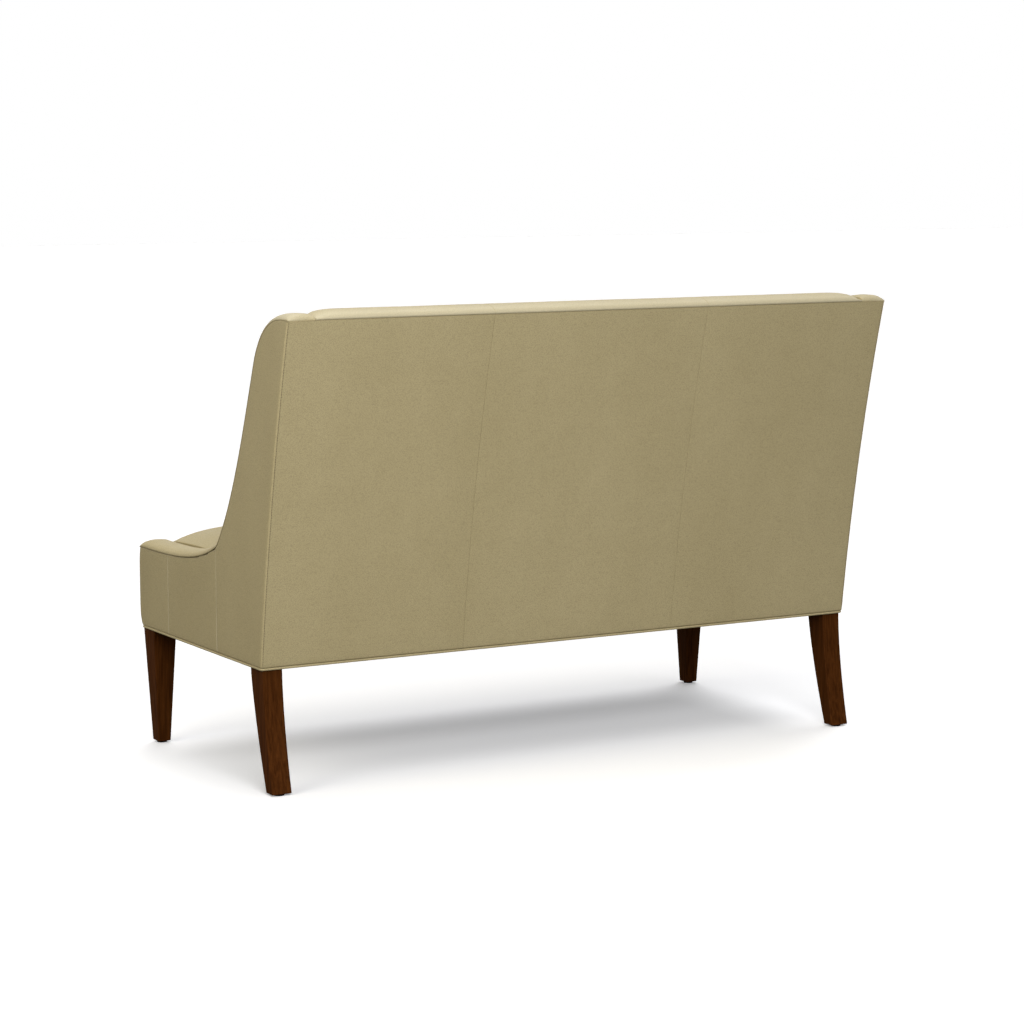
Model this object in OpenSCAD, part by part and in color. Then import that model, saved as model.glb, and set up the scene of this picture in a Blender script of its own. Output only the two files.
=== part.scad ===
// Dining banquette: a leather settee with slim sloped arms, a raked hollow back,
// tapered front legs and sabre rear legs cut in one with the back posts.
// X is the width, the seat faces -Y and Z is up. Millimetres.

/* [Body] */
// Width over the outside leather
body_w = 1470; // [1200:10:1800]
// Depth of the body along its lower edge
body_d = 620; // [560:5:700]
// Height of the body's lower edge above the floor
leg_h = 257; // [200:1:300]
// Height of the seam under the back's pulled-over top
back_h = 980; // [900:5:1080]
// How far that seam leans behind the lower rear edge
back_rake = 141; // [90:1:170]
// Depth of the hollow in the height of the outside back
back_hollow = 13; // [6:1:20]
// How far the padded front swells past the lower edge
front_swell = 17; // [8:1:25]

/* [Arms and wings] */
// Thickness of an arm, leather to leather
arm_t = 62; // [56:1:80]
// How far the seam at the front of the arm lies under the seat's crown
arm_low = 49; // [35:1:60]
// Distance of the corner where arm meets wing from the lower rear edge
corner_d = 215; // [190:1:250]
// Height of that corner above the arm's front
corner_rise = 50; // [35:1:70]
// Depth of the wing where its rounded top ends
wing_d = 136; // [115:1:145]
// Height of the wing's rounded top
wing_round = 97; // [80:1:110]
// Level stretch at the rear of the wing's top
wing_flat = 35; // [20:1:40]
// Height of the padded roll over the arm
arm_crown = 16; // [12:1:22]
// Height of the padded roll over the wing
wing_crown = 13; // [9:1:18]

/* [Seat] */
// Height of the seat's crown above the floor
seat_h = 487; // [478:1:500]
// How much lower the seat is along the arms
seat_side_drop = 32; // [20:1:36]
// Radius of the roll over the seat's front edge
seat_roll = 62; // [45:1:70]
// How far the seat's front stands behind the fronts of the arms
seat_set_back = 5; // [2:1:10]

/* [Back pad] */
// Height of the crown over the back's top seam
back_crown = 19.5; // [15:0.5:27]
// Thickness of the back, leather to leather
back_t = 99.5; // [90:0.5:115]
// Swell of the inside back in the middle of its height
back_swell = 8; // [3:1:12]
// How much the back pad drops at its two ends
back_end_drop = 10; // [5:1:14]
// Height of the back pad's lower edge above the seat deck
back_tuck = 65; // [50:1:80]

/* [Leather] */
// Thickness of the leather
leather_t = 1.5; // [1:0.1:2]
// Thickness of the felt under the outside leather of the back
felt_t = 3.5; // [2:0.5:5]
// Distance of the back's two seams from the middle
seam_x = 263; // [220:1:300]
// Distance of the arm's front seam from the lower rear edge
arm_seam_d = 474; // [440:1:500]
// Width of the side leather's turn onto the back
corner_return = 4; // [3:0.5:6]
// Diameter of the welt along the lower edge
welt_d = 5.4; // [4:0.2:7]
// Thickness of the dust cover
dust_t = 0.8; // [0.5:0.1:1.2]

/* [Frame] */
// Thickness of the back rails and the front seat rail
rail_t = 25; // [20:1:28]
// Height of the seat rails
rail_h = 99; // [85:1:105]
// Thickness of the plywood arm panels
panel_t = 20; // [15:1:22]
// Width of the rear posts
post_w = 44.5; // [36:0.5:48]
// Depth of the rear posts at the seat rails
post_d = 59; // [50:1:64]
// Inset of the frame from the outside of the arms
frame_inset = 6.3; // [5:0.1:8]
// Height of the back's top rail
top_rail_h = 70; // [50:1:90]
// Height of the stay rail above the seat
stay_rail_h = 50; // [40:1:60]
// Width of the back's inner stiles
stile_w = 40; // [30:1:50]
// Width of the rails across the seat
cross_w = 28; // [22:1:36]
// How far the cross rails lie under the springs
cross_drop = 27; // [15:1:35]
// Length of a corner block along each rail
block_l = 75; // [60:1:85]
// Height of a corner block
block_h = 60; // [45:1:70]
// Gap between the lower edge of a rail and a corner block
block_lift = 14; // [8:1:20]
// Depth of the front leg's stump inside the body
stump_d = 45; // [40:1:50]

/* [Joinery] */
// Diameter of the dowels
dowel_d = 10; // [8:1:12]
// Length of the dowels
dowel_l = 40; // [30:1:44]
// Diameter of the corner block screws
screw_d = 5; // [4:0.5:6]
// Length of the corner block screws
screw_l = 44; // [36:1:46]

/* [Legs] */
// Width of a front leg at the top
front_leg_w = 54; // [45:0.5:56]
// Depth of a front leg at the top
front_leg_d = 57.5; // [50:0.5:60]
// Width of a front leg's foot
front_foot_w = 29.5; // [26:0.5:40]
// Depth of a front leg's foot
front_foot_d = 32; // [26:0.5:40]
// Inset of a front leg's outer face from the outside leather
front_leg_inset = 3; // [2:0.5:5]
// Depth of a rear foot
rear_foot_d = 30; // [25:0.5:40]
// How far the rear foot kicks out behind its top
rear_kick = 40; // [20:1:55]
// Diameter of the glides
glide_d = 22; // [18:0.5:24]
// Height of the glides
glide_h = 4; // [3:0.5:6]
// Diameter of a glide's nail
nail_d = 4; // [3:0.5:5]
// Length of a glide's nail
nail_l = 14; // [10:1:20]

/* [Springs and straps] */
// Number of seat springs
spring_n = 10; // [8:1:12]
// Distance of the outermost springs from the arms
spring_margin = 87.5; // [60:0.5:110]
// Width of a spring
spring_w = 48; // [40:1:56]
// Thickness of the spring wire
wire_t = 3.8; // [3:0.1:4.5]
// Number of bends in a spring
spring_bends = 18; // [14:2:22]
// Thickness of the spring clips
clip_t = 1.2; // [1:0.1:2]
// Play of a spring's wire in its clip
clip_play = 0.2; // [0.1:0.1:0.5]
// Thickness of the deck cloth over the springs
deck_t = 1; // [0.6:0.1:2]
// Width of a back strap
strap_w = 50; // [40:1:60]
// Thickness of a back strap
strap_t = 1.5; // [1:0.1:2]
// Number of back straps
strap_n = 11; // [8:1:12]
// Thickness of the cloth over the straps
liner_t = 1; // [0.6:0.1:2]
// Thickness of the card strip under the back's top seam
strip_t = 1.2; // [0.8:0.1:2]
// Height of that strip
strip_h = 12; // [10:1:20]

/* [Hidden] */

LEATHER = "#B3A47C";
DARK_WOOD = "#4A2A18";
FRAME_WOOD = "#D3B183";
PLYWOOD = "#C9A56B";
FOAM = "#EFE3B4";
FELT = "#E4E2DA";
STEEL = "#9A9DA1";
CLOTH = "#2B2B2D";

// Clearance between soft pieces that lie side by side
soft_gap = 0.5;
// How far the frame's upper edges lie under the seam
seam_inset = 1;

half_w = body_w / 2;
arm_h = seat_h - arm_low;
felt_x = half_w - leather_t;
frame_x = half_w - frame_inset;
panel_x = frame_x - panel_t;
arm_in_x = half_w - arm_t;
slab_x = arm_in_x + leather_t;
soft_x = arm_in_x - soft_gap;
post_x = frame_x - post_w;
frame_z = leg_h + 1;
rail_top = frame_z + rail_h;
welt_z = leg_h + welt_d / 2;
panel_z = leg_h + welt_d;
spring_z = rail_top + clip_t + clip_play;
deck_z = spring_z + wire_t + clip_t;
deck_top = deck_z + deck_t;
post_back = leather_t + felt_t;
rail_front = post_back + rail_t;
strap_front = rail_front + strap_t;
liner_front = strap_front + liner_t;
post_front = post_back + post_d;
back_top = back_h - seam_inset;

// The outside back is an arc, hollow to the rear, drawn with straight steps
chord = norm([back_rake, back_h - leg_h]);
arc_r = (chord * chord / 4 + back_hollow * back_hollow) / (2 * back_hollow);
arc_mid = [back_rake / 2, (back_h + leg_h) / 2];
arc_c = arc_mid + [back_h - leg_h, -back_rake] / chord * (arc_r - back_hollow);
function arc_y(z) = arc_c[0] - sqrt(arc_r * arc_r - (z - arc_c[1]) * (z - arc_c[1]));
arc_steps = 8;
arc_zs = [for (i = [0:arc_steps]) leg_h + (back_h - leg_h) * i / arc_steps];
arc_table = concat(
    [[leg_h - 20, arc_y(leg_h - 20)]],
    [for (z = arc_zs) [z, arc_y(z)]],
    [[back_h + 60, arc_y(back_h + 60)]]
);
function rear_y(z) = lookup(z, arc_table);

// A line down the back at depth d ahead of the outside leather, from z1 down to z0
function back_line(d, z0, z1) = concat(
    [[rear_y(z1) - d, z1]],
    [for (i = [arc_steps:-1:0]) if (arc_zs[i] > z0 + 0.01 && arc_zs[i] < z1 - 0.01)
        [rear_y(arc_zs[i]) - d, arc_zs[i]]],
    [[rear_y(z0) - d, z0]]
);
function backwards(list) = [for (i = [len(list) - 1:-1:0]) list[i]];

// The padded front, from its lower edge to the arm's top
swell_power = 8;
ease_power = 12;
front_ease = 5;
front_shares = [0, 0.03, 0.07, 0.13, 0.22, 0.38, 0.6, 0.8, 0.92, 1];
front_table = [for (s = front_shares) [
    leg_h + s * (arm_h - leg_h),
    -body_d - front_swell * (1 - pow(1 - s, swell_power)) + front_ease * pow(s, ease_power)]];
function front_y(z) = lookup(z, front_table);
// A line down the padded front, d behind its leather, from z1 to z0
function front_line(d, z0, z1 = arm_h) = concat(
    [[front_y(z1) + d, z1]],
    [for (i = [len(front_table) - 1:-1:0]) let (z = front_table[i][0])
        if (z > z0 + 0.01 && z < z1 - 0.01) [front_table[i][1] + d, z]],
    [[front_y(z0) + d, z0]]
);

// The seam over wing and arm: two curves down the wing and one along the arm
function heading(a) = [cos(a), sin(a)];
function curve_point(p, q, r, s, t) =
    pow(1 - t, 3) * p + 3 * pow(1 - t, 2) * t * q + 3 * (1 - t) * t * t * r + pow(t, 3) * s;
function curve(p, a, q, b, pull_a, pull_b, ts) = let (l = norm(q - p))
    [for (t = ts) curve_point(p, p + heading(a) * l * pull_a, q - heading(b) * l * pull_b, q, t)];
seam_end = [rear_y(back_h), back_h];
wing_start = seam_end - [wing_flat, 0];
wing_break = [rear_y(back_h - wing_round) - wing_d, back_h - wing_round];
corner = [-corner_d, arm_h + corner_rise];
arm_end = [front_y(arm_h), arm_h];
seam_line = concat(
    [seam_end, seam_end - [wing_flat * 0.2, 0], seam_end - [wing_flat * 0.55, 0], wing_start],
    curve(wing_start, 182, wing_break, 246, 0.38, 0.3, [0.25, 0.45, 0.65, 0.83, 1]),
    curve(wing_break, 246, corner, 229, 0.35, 0.29, [0.25, 0.5, 0.75, 1]),
    curve(corner, 206, arm_end, 179.5, 0.26, 0.47, [0.2, 0.4, 0.6, 0.78, 0.9, 0.97, 1])
);
seam_last = len(seam_line) - 1;
corner_i = 12;
function unit(v) = v / norm(v);
function seam_dir(i) = unit(seam_line[min(i + 1, seam_last)] - seam_line[max(i - 1, 0)]);
function seam_up(i) = i == 0 || i == seam_last ? [0, 1] : [seam_dir(i)[1], -seam_dir(i)[0]];
function seam_at(i, n) = seam_line[i] + seam_up(i) * n;

// How full the padded roll is at each point of the seam, and how tall
end_fill = [0, 0.62, 0.9];
function fill(i) = i < 3 ? end_fill[i] : seam_last - i < 3 ? end_fill[seam_last - i] : 1;
function roll_h(i) = i < corner_i - 2 ? wing_crown
    : i > corner_i + 2 ? arm_crown
    : wing_crown + (arm_crown - wing_crown) * (i - corner_i + 2) / 4;
end_shift = [1, 0.7, 0.3];
function shift(i) = i < 3 ? -end_shift[i] : seam_last - i < 3 ? end_shift[seam_last - i] : 0;
roll_angles = [0, 14, 34, 60, 90, 120, 150, 172, 180];
roll_power = 0.75;
// A point of the roll over the arm: angle a across it, thinner by t under the leather
function kept(p, t) = [min(p[0], rear_y(p[1]) - t), p[1]];
function roll_point(i, a, t) = let (
        p = kept(seam_at(i, (roll_h(i) - t) * pow(max(0, sin(a)), roll_power) * fill(i))
            + [shift(i) * t, 0], t)
    ) [half_w - arm_t / 2 + (arm_t / 2 - t) * cos(a), p[0], p[1]];
function roll_low(i) = kept(seam_at(i, -seam_inset) + [shift(i) * leather_t, 0], leather_t);

// Front edge of the rear post above the seat rails
post_slim_z = rail_top + 190;
function post_front_line(z0, z1) = concat(
    back_line(rail_front, post_slim_z, z1),
    z0 < rail_top - 1 ? [[-post_front, rail_top], [-post_front, z0]] : [[-post_front, rail_top]]
);

// Outline of the arm ahead of the post: y_front is its front plane, z_low its lower edge
function seam_z(y) = lookup(y, seam_line);
post_top_y = rear_y(back_top) - rail_front;
function frame_outline(y_front, z_low) = concat(
    [[post_top_y, back_top]],
    [for (i = [3:seam_last]) let (p = seam_at(i, -seam_inset))
        if (p[0] < post_top_y - 1 && p[0] > y_front + 1) p],
    [[y_front, seam_z(y_front) - seam_inset], [y_front, z_low]],
    backwards(post_front_line(z_low, post_top_z))
);
post_top_z = back_top - 0.5;

// Planes of the frame's front
rail_y = -(body_d - 6);
stump_back = rail_y + stump_d;

module placed() {
    front = -body_d - front_swell;
    rear = seam_end[0] + lip;
    translate([0, -(front + rear) / 2, 0]) children();
}
// How far the leather over the back's top stands behind the seam
lip = 2;

module mirrored(side) {
    if (side > 0) children();
    else mirror([1, 0, 0]) children();
}

// Extrudes a (y, z) outline along X from x0 to x1
module along_x(x0, x1) {
    translate([x0, 0, 0]) rotate([90, 0, 90]) linear_extrude(x1 - x0) children();
}

// A solid through a list of closed rings, with a point inside each end to close it
module loft(rings, hub0, hub1) {
    m = len(rings[0]);
    k = len(rings);
    points = concat([for (r = rings) each r], [hub0, hub1]);
    sides = [for (i = [0:k - 2], j = [0:m - 1]) let (
            a = i * m + j,
            b = i * m + (j + 1) % m
        ) each [[a, b, b + m], [a, b + m, a + m]]];
    cap0 = [for (j = [0:m - 1]) [k * m, (j + 1) % m, j]];
    cap1 = [for (j = [0:m - 1]) [k * m + 1, (k - 1) * m + j, (k - 1) * m + (j + 1) % m]];
    polyhedron(points, concat(sides, cap0, cap1), convexity = 6);
}

// A sheet between two grids of points of the same rows and columns
module skin(outer, inner) {
    r = len(outer);
    c = len(outer[0]);
    n = r * c;
    points = concat([for (row = outer) each row], [for (row = inner) each row]);
    faces = concat(
        [for (i = [0:r - 2], j = [0:c - 2]) let (a = i * c + j) each [
            [a, a + 1, a + c + 1], [a, a + c + 1, a + c],
            [n + a, n + a + c + 1, n + a + 1], [n + a, n + a + c, n + a + c + 1]]],
        [for (j = [0:c - 2]) let (a = j, b = (r - 1) * c + j) each [
            [a + 1, a, n + a], [a + 1, n + a, n + a + 1],
            [b, b + 1, n + b + 1], [b, n + b + 1, n + b]]],
        [for (i = [0:r - 2]) let (a = i * c, b = i * c + c - 1) each [
            [a, a + c, n + a + c], [a, n + a + c, n + a],
            [b + c, b, n + b], [b + c, n + b, n + b + c]]]
    );
    polyhedron(points, faces, convexity = 6);
}

// Sides of the dowels, screws, nails and wires
round_n = 10;

// Joinery shared by the frame's members, given by the middle of each dowel
dowel_pitch = 50;
low_dowel_z = frame_z + rail_h / 2;
top_dowel_z = back_top - top_rail_h / 2;
stay_z = rail_top + back_tuck;
stay_dowel_z = stay_z + stay_rail_h / 2;
stump_x = half_w - front_leg_inset - front_leg_w;
side_rail_x = (stump_x + panel_x) / 2;
function back_mid_y(z) = rear_y(z) - post_back - rail_t / 2;
x_dowels = [
    for (s = [-1, 1], k = [-1, 1]) each [
        [s * (post_x), -rail_front + rail_t / 2 + 4, low_dowel_z + k * dowel_pitch / 2],
        [s * stump_x, rail_y + rail_t / 2, low_dowel_z + k * dowel_pitch / 2],
        [s * post_x, back_mid_y(top_dowel_z), top_dowel_z + k * top_rail_h / 4],
        [s * post_x, back_mid_y(stay_dowel_z), stay_dowel_z + k * stay_rail_h / 4]]
];
y_dowels = [
    for (s = [-1, 1], k = [-1, 1]) each [
        [s * side_rail_x, -post_front, low_dowel_z + k * dowel_pitch / 2],
        [s * side_rail_x, stump_back, low_dowel_z + k * dowel_pitch / 2]],
    for (s = [-1, 1], k = [-1, 1], y = [rail_y + rail_t, -rail_front])
        [s * seam_x + k * cross_w / 4, y, frame_z + (rail_h - cross_drop) / 2]
];

module frame_dowels() {
    color(FRAME_WOOD) {
        for (p = x_dowels)
            translate(p) rotate([0, 90, 0]) cylinder(h = dowel_l, d = dowel_d, center = true, $fn = round_n);
        for (p = y_dowels)
            translate(p) rotate([90, 0, 0]) cylinder(h = dowel_l, d = dowel_d, center = true, $fn = round_n);
    }
}

// Corner block screws: each is [point where it enters the rail, direction]
block_z = frame_z + block_lift;
screw_z = block_z + block_h / 2;
screw_at = block_l * 0.62;
head_d = 9;
head_h = 3;
screw_rise = 14;
screws = [
    for (s = [-1, 1]) each [
        [[s * (stump_x - screw_at), rail_y + rail_t, screw_z + screw_rise], [0, -1]],
        [[s * stump_x, rail_y + rail_t + screw_at, screw_z - screw_rise], [s, 0]],
        [[s * (post_x - screw_at), -rail_front, screw_z + screw_rise], [0, 1]],
        [[s * stump_x, -post_front - screw_at, screw_z - screw_rise], [s, 0]]]
];
screw_bite = 18;
module along_screws() {
    for (w = screws)
        translate(w[0]) rotate([0, 90, atan2(w[1][1], w[1][0])])
            translate([0, 0, screw_bite - screw_l]) children();
}
module corner_block_screws() {
    color(STEEL) along_screws() {
        cylinder(h = screw_l, d = screw_d, $fn = round_n);
        cylinder(h = head_h, d = head_d, $fn = round_n);
    }
}
// Bores that the screws' heads go down
bore_d = head_d + 1;
module screw_bores() {
    along_screws() translate([0, 0, head_h - block_l]) cylinder(h = block_l, d = bore_d, $fn = round_n);
}

module jointed() {
    difference() {
        children();
        frame_dowels();
        corner_block_screws();
    }
}

// Rear post and sabre leg, one sawn piece
kick_power = 1.6;
kick_steps = 8;
function kick_share(z) = (frame_z - z) / (frame_z - glide_h);
function leg_rear_y(z) = rear_kick * pow(kick_share(z), kick_power) - post_back;
leg_front_travel = rear_kick + post_d - rear_foot_d;
front_power = 1.3;
function leg_front_y(z) = leg_front_travel * pow(kick_share(z), front_power) - post_front;
leg_zs = [for (i = [0:kick_steps]) glide_h + (frame_z - glide_h) * i / kick_steps];
module back_post(side) {
    outline = concat(
        [for (z = leg_zs) [leg_rear_y(z), z]],
        [for (p = backwards(back_line(post_back, frame_z + 12, back_top))) p],
        post_front_line(frame_z, back_top),
        [for (i = [kick_steps - 1:-1:0]) [leg_front_y(leg_zs[i]), leg_zs[i]]]
    );
    color(DARK_WOOD) mirrored(side) difference() {
        along_x(post_x, frame_x) polygon(outline);
        translate([post_x + post_w / 2, rear_foot_y, glide_h - 1])
            cylinder(h = nail_l + 1, d = nail_d, $fn = round_n);
        frame_dowels();
    }
}
rear_foot_y = leg_rear_y(glide_h) - rear_foot_d / 2;

// Front leg: tapered below, a stump above for the seat rails
front_leg_x = half_w - front_leg_inset - front_leg_w / 2;
front_leg_y = -body_d + front_leg_d / 2;
module front_leg(side) {
    color(DARK_WOOD) mirrored(side) difference() {
        union() {
            hull() {
                translate([front_leg_x, front_leg_y, leg_h - 0.5])
                    cube([front_leg_w, front_leg_d, 1], center = true);
                translate([front_leg_x, front_leg_y, glide_h + 0.5])
                    cube([front_foot_w, front_foot_d, 1], center = true);
            }
            translate([stump_x, rail_y, leg_h - 1])
                cube([frame_x - stump_x, stump_d, frame_z - leg_h + 1]);
            translate([stump_x, rail_y, leg_h])
                cube([panel_x - stump_x, stump_d, rail_top - leg_h]);
        }
        translate([front_leg_x, front_leg_y, glide_h - 1])
            cylinder(h = nail_l + 1, d = nail_d, $fn = round_n);
        frame_dowels();
        corner_block_screws();
    }
}

module leg_glides() {
    color(STEEL) for (s = [-1, 1], p = [[front_leg_x, front_leg_y], [post_x + post_w / 2, rear_foot_y]])
        translate([s * p[0], p[1], 0]) {
            cylinder(h = glide_h, d = glide_d, $fn = 48);
            cylinder(h = glide_h + nail_l, d = nail_d, $fn = round_n);
        }
}

// Seat rails
module front_seat_rail() {
    color(FRAME_WOOD) jointed() translate([-stump_x, rail_y, frame_z])
        cube([2 * stump_x, rail_t, rail_h]);
}

module rear_seat_rail() {
    outline = concat(
        backwards(back_line(post_back, frame_z, rail_top)),
        [[-rail_front, rail_top], [-rail_front, frame_z]]
    );
    color(FRAME_WOOD) jointed() along_x(-post_x, post_x) polygon(outline);
}

module side_seat_rail(side) {
    color(FRAME_WOOD) mirrored(side) jointed() translate([stump_x, stump_back, frame_z])
        cube([panel_x - stump_x, -post_front - stump_back, rail_h]);
}

module seat_cross_rails() {
    color(FRAME_WOOD) jointed() for (s = [-1, 1])
        translate([s * seam_x - cross_w / 2, rail_y + rail_t, frame_z])
            cube([cross_w, -rail_front - rail_y - rail_t, rail_h - cross_drop]);
}

module corner_blocks() {
    color(FRAME_WOOD) difference() {
        for (s = [-1, 1]) mirrored(s) translate([0, 0, block_z]) linear_extrude(block_h) children();
        corner_block_screws();
        screw_bores();
    }
}
module front_corner_blocks() {
    corner_blocks() polygon([
        [stump_x, rail_y + rail_t],
        [stump_x - block_l, rail_y + rail_t],
        [stump_x - block_l, rail_y + rail_t + 12],
        [stump_x - 12, rail_y + rail_t + block_l],
        [stump_x, rail_y + rail_t + block_l]]);
}

module rear_corner_blocks() {
    corner_blocks() polygon([
        [post_x, -rail_front],
        [post_x - block_l, -rail_front],
        [post_x - block_l, -rail_front - 12],
        [stump_x - 12, -post_front - block_l],
        [stump_x, -post_front - block_l],
        [stump_x, -post_front],
        [post_x, -post_front]]);
}

// Back frame
module back_member(x0, x1, z0, z1, d0, d1) {
    along_x(x0, x1) polygon(concat(
        back_line(d1, z0, z1),
        backwards(back_line(d0, z0, z1))
    ));
}

module back_top_rail() {
    color(FRAME_WOOD) jointed()
        back_member(-post_x, post_x, back_top - top_rail_h, back_top, post_back, rail_front);
}

module back_stay_rail() {
    color(FRAME_WOOD) jointed()
        back_member(-post_x, post_x, stay_z, stay_z + stay_rail_h, post_back, rail_front);
}

module back_stile(side) {
    x0 = seam_x - stile_w / 2;
    color(FRAME_WOOD) mirrored(side) {
        back_member(x0, x0 + stile_w, stay_z + stay_rail_h, back_top - top_rail_h, post_back, rail_front);
        back_member(x0, x0 + stile_w, rail_top, stay_z, post_back, rail_front);
    }
}

module arm_panel(side) {
    color(PLYWOOD) mirrored(side) along_x(panel_x, frame_x) polygon(frame_outline(rail_y, frame_z));
}

// Springs: a flat zigzag of wire, outlined by stepping along its middle line
spring_front = rail_y + rail_t - 11;
spring_rear = -post_back - rail_t + 11;
spring_step = (spring_rear - spring_front) / spring_bends;
zigzag = [for (i = [0:spring_bends]) let (
        y = spring_front + i * spring_step,
        x = (i % 2 == 0 ? 1 : -1) * spring_w / 2,
        lean = i == 0 || i == spring_bends ? 0 : spring_step * 0.2
    ) each [[-x, y - lean], [x, y + lean]]];
zig_n = len(zigzag) - 1;
function zig_dir(i) = unit(zigzag[min(i + 1, zig_n)] - zigzag[max(i - 1, 0)]);
function zig_side(i, w) = let (
        a = i == 0 ? zig_dir(0) : unit(zigzag[i] - zigzag[i - 1]),
        b = i == zig_n ? a : unit(zigzag[i + 1] - zigzag[i]),
        m = unit(a + b)
    ) zigzag[i] + [-m[1], m[0]] * w / (m * a);
module spring_outline() {
    polygon(concat(
        [for (i = [0:zig_n]) zig_side(i, wire_t / 2)],
        [for (i = [zig_n:-1:0]) zig_side(i, -wire_t / 2)]
    ));
}
spring_xs = [for (i = [0:spring_n - 1]) (soft_x - spring_margin) * (2 * i / (spring_n - 1) - 1)];
module seat_springs() {
    color(STEEL) for (x = spring_xs)
        translate([x, 0, spring_z]) linear_extrude(wire_t) spring_outline();
}

// A clip is a strip with a turned-up end that holds the spring's end bar
module clip_outline() {
    square([clip_l, clip_t]);
    square([clip_t, deck_z - rail_top]);
    translate([0, deck_z - rail_top - clip_t]) square([clip_hook, clip_t]);
}
clip_w = 20;
clip_l = 16;
clip_hook = 7;
module spring_clips() {
    back = clip_t + clip_play + wire_t / 2;
    color(STEEL) for (x = spring_xs) {
        translate([x, spring_front - back, rail_top]) along_x(-clip_w / 2, clip_w / 2) clip_outline();
        translate([x, spring_rear + back, rail_top]) mirror([0, 1, 0])
            along_x(-clip_w / 2, clip_w / 2) clip_outline();
    }
}

tie_d = 3;
module spring_tie_wires() {
    color(STEEL) for (k = [1 / 3, 2 / 3])
        translate([0, spring_front + (spring_rear - spring_front) * k, spring_z - tie_d / 2])
            rotate([0, 90, 0]) cylinder(h = 2 * soft_x - 4, d = tie_d, center = true, $fn = round_n);
}

module seat_deck_cloth() {
    color(CLOTH) translate([-soft_x, rail_y, deck_z])
        cube([2 * soft_x, seat_rear_y - rail_y, deck_t]);
}

// Back straps, their cover and the card strip under the top seam
strap_z0 = stay_z + 10;
strap_z1 = back_top - 20;
module back_straps() {
    pitch = (2 * soft_x - strap_w) / (strap_n - 1);
    color(CLOTH) for (i = [0:strap_n - 1])
        translate([-soft_x + i * pitch, 0, 0])
            back_member(0, strap_w, strap_z0, strap_z1, rail_front, strap_front);
}

module back_liner() {
    color(CLOTH) back_member(-soft_x, soft_x, strap_z0, strap_z1, strap_front, liner_front);
}

module back_tack_strip() {
    color(FELT) back_member(-post_x, post_x, back_top - strip_h, back_top, post_back - strip_t, post_back);
}

// Seat: rows of points over the front edge and back to the crevice, at share u of the width
seat_rear_y = rear_y(deck_top + back_tuck) - back_t - 4;
seat_us = [-1, -0.975, -0.93, -0.85, -0.7, -0.4, 0, 0.4, 0.7, 0.85, 0.93, 0.975, 1];
side_power = 10;
roll_start = seat_h - seat_roll;
seat_front_zs = [
    panel_z, panel_z + 12, panel_z + 36, deck_top - 25, deck_top, (deck_top + roll_start) / 2];
roll_as = [0, 25, 45, 65, 85];
top_shares = [0.2, 0.45, 0.7, 0.88, 0.97];
top_sag = 18;
seat_face_y = front_y((deck_top + roll_start) / 2) + seat_set_back;
roll_y1 = seat_face_y + seat_roll * 1.1;
// Each row is [y, z, outward direction, how much of the side drop it takes]
seat_rows = concat(
    [for (z = seat_front_zs) [front_y(z) + seat_set_back, z, 180, z > deck_top ? 0.25 : 0]],
    [for (a = roll_as) [
        seat_face_y + seat_roll * 1.1 * (1 - cos(a)),
        roll_start + (seat_roll - 5) * sin(a),
        180 - a,
        0.4 + 0.6 * sin(a)]],
    [for (s = top_shares) let (y = roll_y1 + (seat_rear_y - roll_y1) * s) [
        y,
        seat_h - top_sag * pow(max(0, s - 0.25) / 0.75, 2) - 5 * pow(1 - s, 6),
        90, 1]],
    [[seat_rear_y, seat_h - top_sag - 18, 20, 1]]
);
deck_row = 4;
function seat_point(r, u, t) = let (row = seat_rows[r]) [
    u * soft_x,
    row[0] + t * -cos(row[2]),
    row[1] - t * sin(row[2]) - seat_side_drop * pow(abs(u), side_power) * row[3]
];
last_row = len(seat_rows) - 1;
module seat_cover() {
    color(LEATHER) skin(
        [for (r = [0:last_row]) [for (u = seat_us) seat_point(r, u, leather_t)]],
        [for (r = [0:last_row]) [for (u = seat_us) seat_point(r, u, 0)]]
    );
}

module seat_foam() {
    rear = seat_rear_y - leather_t;
    rings = [for (u = seat_us) concat(
        [for (r = [deck_row:last_row]) seat_point(r, u, leather_t)],
        [[u * soft_x, seat_point(last_row, u, leather_t)[1], deck_top]]
    )];
    hub_y = (rail_y + seat_rear_y) / 2;
    color(FOAM) loft(rings, [-soft_x, hub_y, deck_top + 40], [soft_x, hub_y, deck_top + 40]);
}

module front_rail_foam() {
    rings = [for (u = seat_us) concat(
        [for (r = [0:deck_row]) seat_point(r, u, leather_t)],
        [[u * soft_x, rail_y, deck_top], [u * soft_x, rail_y, panel_z]]
    )];
    hub = [rail_y - 8, (panel_z + deck_top) / 2];
    color(FOAM) loft(rings, [-soft_x, hub[0], hub[1]], [soft_x, hub[0], hub[1]]);
}

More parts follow.
